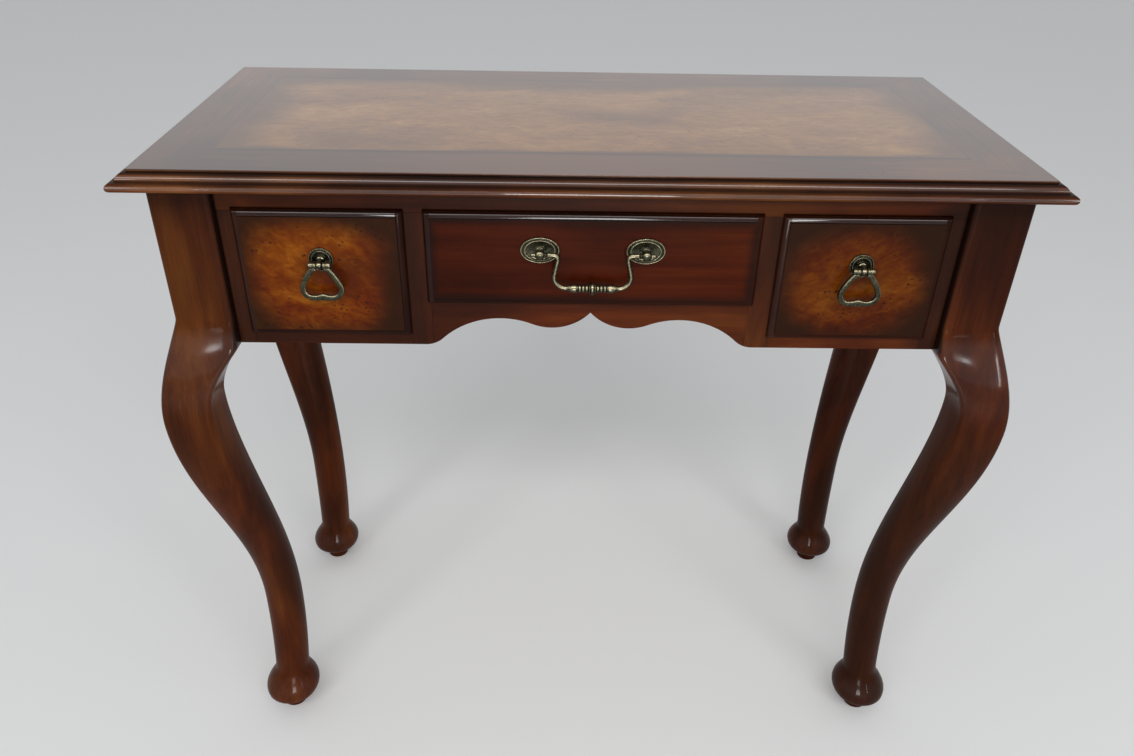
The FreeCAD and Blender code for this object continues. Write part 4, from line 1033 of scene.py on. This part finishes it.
def plate_profile(radius):
    """Backplate: a half-round rim, a channel, a half-round ring and a dish with a hub."""
    rim_in = radius - RIM_WIDTH
    ring_out = rim_in - CHANNEL_WIDTH
    ring_in = ring_out - RING_WIDTH
    profile = [(radius - 0.1, 0), (radius, 0.2), (radius, 1.2)]
    profile += rounded((radius, 1.2), (rim_in, 1.0), 0.9)
    profile += [(rim_in - 0.2, 0.8), (ring_out + 0.2, 0.8), (ring_out, 1.0)]
    profile += rounded((ring_out, 1.0), (ring_in, 1.0), 1.45)
    for step in range(1, 6):
        share = step / 5
        sunk = 1.0 - 0.45 * math.sin(math.pi / 2 * share)
        profile.append((ring_in + (HUB_FOOT - ring_in) * share, sunk))
    profile += [(4.4, 0.6), (4.3, 1.6), (4.1, 1.8), (1.5, 1.8)]
    return profile


def joined(name, pieces):
    """Solder several castings into one piece."""
    bpy.ops.object.select_all(action="DESELECT")
    for piece in pieces:
        piece.select_set(True)
    bpy.context.view_layer.objects.active = pieces[0]
    bpy.ops.object.join()
    pieces[0].name = name
    return pieces[0]


def mirrored(piece, middle):
    """A piece's left hand twin, across the middle it stands to the right of."""
    twin = bpy.data.objects.new("left_half", piece.data.copy())
    scene.collection.objects.link(twin)
    twin.scale = (-1, 1, 1)
    twin.location = (2 * middle, 0, 0)
    settle(twin)
    tidy_skin(twin)
    return twin


COLLAR = [(2.5, 0), (4.0, 0.01), (4.1, 1.9), (4.1, 3.5), (3.8, 3.8), (2.6, 3.9)]
DROP_OUT = 10.0
DROP_DOWN = 2.0
BAIL_OUT = 12.0
BAIL_DROP = 34.5
BAIL_HALF = 50.8
PULL_X = 0.26075
brass = antique_brass("pulls_antique_brass")
low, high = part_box("drop_bail_left")
stirrup_brass = antique_brass("stirrups_antique_brass", (PULL_X, low.z + 3.0 * MM))


def bend(centre, angle, steps):
    """Draw what is selected round a centre, in even steps of an angle."""
    for step in range(steps):
        draw_out((0, 0, 0))
        bpy.ops.transform.rotate(value=angle / steps, orient_axis="Y", center_override=centre)


STIRRUP_DROP = 37.0
BAND_DEPTH = 4.1
BAND_HEIGHT = 5.4
BAND_ROUNDING = 1.35
CUSP_RISE = 1.5
CUSP_HALF = 7.0
CORNER_X = 9.1
CORNER_RADIUS = 12.1
CORNER_TURN = math.radians(112)
SIDE_RADIUS = 52.4
SIDE_LEAN = math.radians(22)
SIDE_TURN = math.radians(18)
INTO_KNUCKLE = (-2.3 * MM, 0, 2.75 * MM)


def draw_stirrup(pivot):
    """The right half of a stirrup: a flat band from its middle round a corner to the knuckle."""
    bpy.ops.object.select_all(action="DESELECT")
    low = pivot - Vector((0, 0, STIRRUP_DROP)) * MM
    middle = low + Vector((0, 0, BAND_HEIGHT / 2)) * MM
    bpy.ops.mesh.primitive_plane_add(size=MM, location=middle, rotation=TOWARDS_RIGHT)
    band = bpy.context.object
    settle(band)
    bpy.ops.object.mode_set(mode="EDIT")
    bpy.ops.mesh.select_all(action="SELECT")
    bpy.ops.transform.resize(value=(1, BAND_DEPTH, BAND_HEIGHT), center_override=middle)
    bpy.ops.mesh.bevel(offset=BAND_ROUNDING * MM, segments=4, affect="VERTICES")
    last_x = 0.0
    last_height = BAND_HEIGHT
    for cusp_x in (0.0, 1.4, 2.8, 4.2, 5.6, CUSP_HALF, CORNER_X):
        swing = math.pi / 2 * min(cusp_x / CUSP_HALF, 1.0)
        height = BAND_HEIGHT + CUSP_RISE * math.cos(swing) ** 2
        if cusp_x:
            draw_out(((cusp_x - last_x) * MM, 0, 0))
        bpy.ops.transform.resize(value=(1, 1, height / last_height), center_override=low)
        last_x = cusp_x
        last_height = height
    corner = low + Vector((CORNER_X, 0, CORNER_RADIUS)) * MM
    inward = Vector((math.cos(SIDE_LEAN), 0, math.sin(SIDE_LEAN)))
    bend(corner, CORNER_TURN, 14)
    bend(corner - inward * SIDE_RADIUS * MM, SIDE_TURN, 6)
    draw_out(INTO_KNUCKLE)
    bpy.ops.object.mode_set(mode="OBJECT")
    middle_face = min(band.data.polygons, key=lambda polygon: polygon.center.x)
    only(band)
    bpy.ops.object.mode_set(mode="EDIT")
    bpy.ops.mesh.select_mode(type="FACE")
    bpy.ops.mesh.select_all(action="DESELECT")
    mesh = bmesh.from_edit_mesh(band.data)
    mesh.faces.ensure_lookup_table()
    mesh.faces[middle_face.index].select_set(True)
    bpy.ops.mesh.delete(type="FACE")
    bpy.ops.mesh.select_mode(type="VERT")
    bpy.ops.object.mode_set(mode="OBJECT")
    return band


KNUCKLE = [(1.35, 0.1), (1.4, 0.2), (1.4, 3.0), (2.6, 3.05), (3.2, 3.4), (3.4, 4.2), (3.4, 5.0),
           (3.0, 5.4), (3.0, 5.8), (3.4, 6.2), (3.4, 9.4), (3.1, 10.3), (2.4, 10.75),
           (1.2, 10.85)]
KNOB = [(2.2, -2.75), (3.0, -2.7), (3.6, -2.2), (3.95, -1.2), (4.0, 0), (3.95, 1.2), (3.6, 2.2),
        (3.0, 2.7), (2.2, 2.75)]
LUMP = [(0.5, -1.5), (1.2, -1.1), (1.6, -0.4), (1.6, 0.4), (1.2, 1.1), (0.5, 1.5)]
LUMP_PLACE = Vector((4.9, -0.4, -4.6))
ROUND_RADIUS = 12.0

for side in ("left", "right"):
    low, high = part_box("drop_backplate_" + side)
    x = (low.x + high.x) / 2
    z = (low.z + high.z) / 2
    face = high.y
    plate = turned("ringed_plate_" + side, (x, face, z), TOWARDS_FRONT,
                   plate_profile(ROUND_RADIUS), 64)
    smooth(plate, 50)
    mark_wear_and_highlights(plate, CREST, face, brightest=0.76)
    fit(plate, "drop_backplate_" + side, brass)

    pivot = Vector((x, face - DROP_OUT * MM, z - DROP_DOWN * MM))
    post = turned("post", (x, face, z), TOWARDS_FRONT, COLLAR + [(2.5, 4.2), (2.5, 8.0)])
    post = joined("ball_post_" + side, [post, turned("knob", pivot, TOWARDS_RIGHT, KNOB)])
    smooth(post, 50)
    mark_wear_and_highlights(post)
    fit(post, "drop_post_" + side, brass)
    nut = "drop_nut_" + side
    fit(eased_copy(nut, "hexagon_nut_" + side, 0.0003, 30), nut, brass)

    right_half = draw_stirrup(pivot)
    knuckle = turned("knuckle", pivot, TOWARDS_RIGHT, KNUCKLE, 32)
    lump = turned("lump", pivot + LUMP_PLACE * MM, TOWARDS_RIGHT, LUMP, 24)
    right_half = joined("right_half", [right_half, knuckle, lump])
    bail = joined("stirrup_bail_" + side, [right_half, mirrored(right_half, x)])
    tidy_skin(bail)
    smooth(bail, 50)
    mark_wear_and_highlights(bail, side_highlight=0.95)
    fit(bail, "drop_bail_" + side, stirrup_brass)

OVAL_HALF_WIDTH = 19.0
OVAL_HALF_HEIGHT = 13.25
DOMED_POST = COLLAR + [(2.5, 4.2), (2.5, 7.6), (3.2, 8.2), (4.3, 9.2), (4.7, 10.0), (4.8, 10.8),
                       (4.8, 13.2), (4.65, 14.1), (4.2, 14.9), (3.4, 15.6), (2.3, 16.0),
                       (1.1, 16.18)]
low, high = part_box("centre_backplates")
face = high.y
pivot_z = (low.z + high.z) / 2
plates = []
posts = []
for side in (-1, 1):
    place = (side * BAIL_HALF * MM, face, pivot_z)
    plate = turned("plate", (0, 0, 0), TOWARDS_FRONT, plate_profile(OVAL_HALF_HEIGHT), 96)
    plate.scale = (OVAL_HALF_WIDTH / OVAL_HALF_HEIGHT, 1, 1)
    plate.location = place
    settle(plate)
    plates.append(plate)
    posts.append(turned("post", place, TOWARDS_FRONT, DOMED_POST))
plate = joined("oval_backplates", plates)
smooth(plate, 50)
mark_wear_and_highlights(plate, CREST, face)
fit(plate, "centre_backplates", brass)
post = joined("domed_eye_posts", posts)
smooth(post, 50)
mark_wear_and_highlights(post)
fit(post, "centre_eye_posts", brass)
fit(eased_copy("centre_nuts", "hexagon_nuts_centre", 0.0003, 30), "centre_nuts", brass)


BALL_END = (60.3, 0.5)
BALL_AND_COLLARS = [
    (60.0, 1.2), (59.4, 1.8), (58.6, 2.15), (57.9, 2.2), (57.1, 2.05), (56.4, 1.8), (55.9, 1.8),
    (46.0, 1.8), (45.7, 2.2), (45.6, 2.9), (45.2, 3.15), (44.7, 2.9), (44.4, 2.3), (44.0, 2.1),
    (43.6, 2.3), (43.4, 2.9), (43.0, 3.1), (42.4, 3.0), (41.4, 2.7), (40.0, 2.45), (38.0, 2.4)]
NECK_X = 38.0
NECK_BEND = 4.5
GRIP_X = 25.0
GRIP_BEND = 12.0
GRIP_SWELL = [
    (24.2, 2.6), (23.2, 3.1), (22.0, 3.6), (20.5, 4.1), (19.0, 4.35), (17.5, 4.45), (16.2, 4.4),
    (15.3, 4.3), (15.0, 4.0), (14.9, 4.3), (14.6, 4.6), (14.2, 4.6), (14.0, 4.2), (13.9, 2.8)]
BEADS = 3
BEADS_START = 13.9
BEADS_END = 3.6
BEAD_ROOT = 2.8
BEAD_RISE = 1.35
BEAD_STEPS = 8
MIDDLE_RING = [(3.6, 4.6), (3.3, 5.3), (2.7, 5.6), (2.1, 5.3), (1.8, 5.0), (1.6, 5.6),
               (1.2, 6.3), (0.6, 6.5), (0.0, 6.5)]


def draw_bail():
    """The right half of the swan-neck bail, drawn from its outer ball to its middle."""
    pivot = Vector((0, face - BAIL_OUT * MM, pivot_z))
    x, radius = BALL_END
    bpy.ops.object.select_all(action="DESELECT")
    bpy.ops.mesh.primitive_circle_add(vertices=32, radius=radius * MM, fill_type="NGON",
                                      location=pivot + Vector((x * MM, 0, 0)),
                                      rotation=TOWARDS_RIGHT)
    bail = bpy.context.object
    settle(bail)
    bpy.ops.object.mode_set(mode="EDIT")
    bpy.ops.mesh.select_all(action="SELECT")
    now = {"x": x, "radius": radius, "drop": 0.0}

    def drawn(profile):
        for x, radius in profile:
            draw_out(((x - now["x"]) * MM, 0, 0))
            share = radius / now["radius"]
            centre = pivot + Vector((x, 0, now["drop"])) * MM
            bpy.ops.transform.resize(value=(1, share, share), center_override=centre)
            now["x"] = x
            now["radius"] = radius

    drawn(BALL_AND_COLLARS)
    neck = Vector((NECK_X, 0, -NECK_BEND))
    grip = Vector((GRIP_X, 0, -BAIL_DROP + GRIP_BEND))
    between = grip - neck
    bends = NECK_BEND + GRIP_BEND
    heading = math.atan2(between.z, between.x) + math.asin(bends / between.length)
    swing = heading + math.pi
    bend(pivot + neck * MM, swing, 12)
    run = math.sqrt(between.length ** 2 - bends ** 2)
    way = Vector((math.cos(heading), 0, math.sin(heading))) * run * MM
    for step in range(4):
        draw_out(tuple(way / 4))
    bend(pivot + grip * MM, -swing, 16)
    now["x"] = GRIP_X
    now["drop"] = -BAIL_DROP
    drawn(GRIP_SWELL)
    width = (BEADS_START - BEADS_END) / BEADS
    for bead in range(BEADS):
        start = BEADS_START - width * bead
        for step in range(1, BEAD_STEPS + 1):
            swing = math.pi * step / BEAD_STEPS
            across = width * (1 - math.cos(swing)) / 2
            drawn([(start - across, BEAD_ROOT + BEAD_RISE * math.sin(swing))])
    drawn(MIDDLE_RING)
    bpy.ops.mesh.delete(type="FACE")
    bpy.ops.object.mode_set(mode="OBJECT")
    return bail


right_half = draw_bail()
bail = joined("beaded_swan_neck_bail", [right_half, mirrored(right_half, 0)])
tidy_skin(bail)
smooth(bail, 50)
mark_wear_and_highlights(bail, front_highlight=0.9)
fit(bail, "centre_bail", brass)
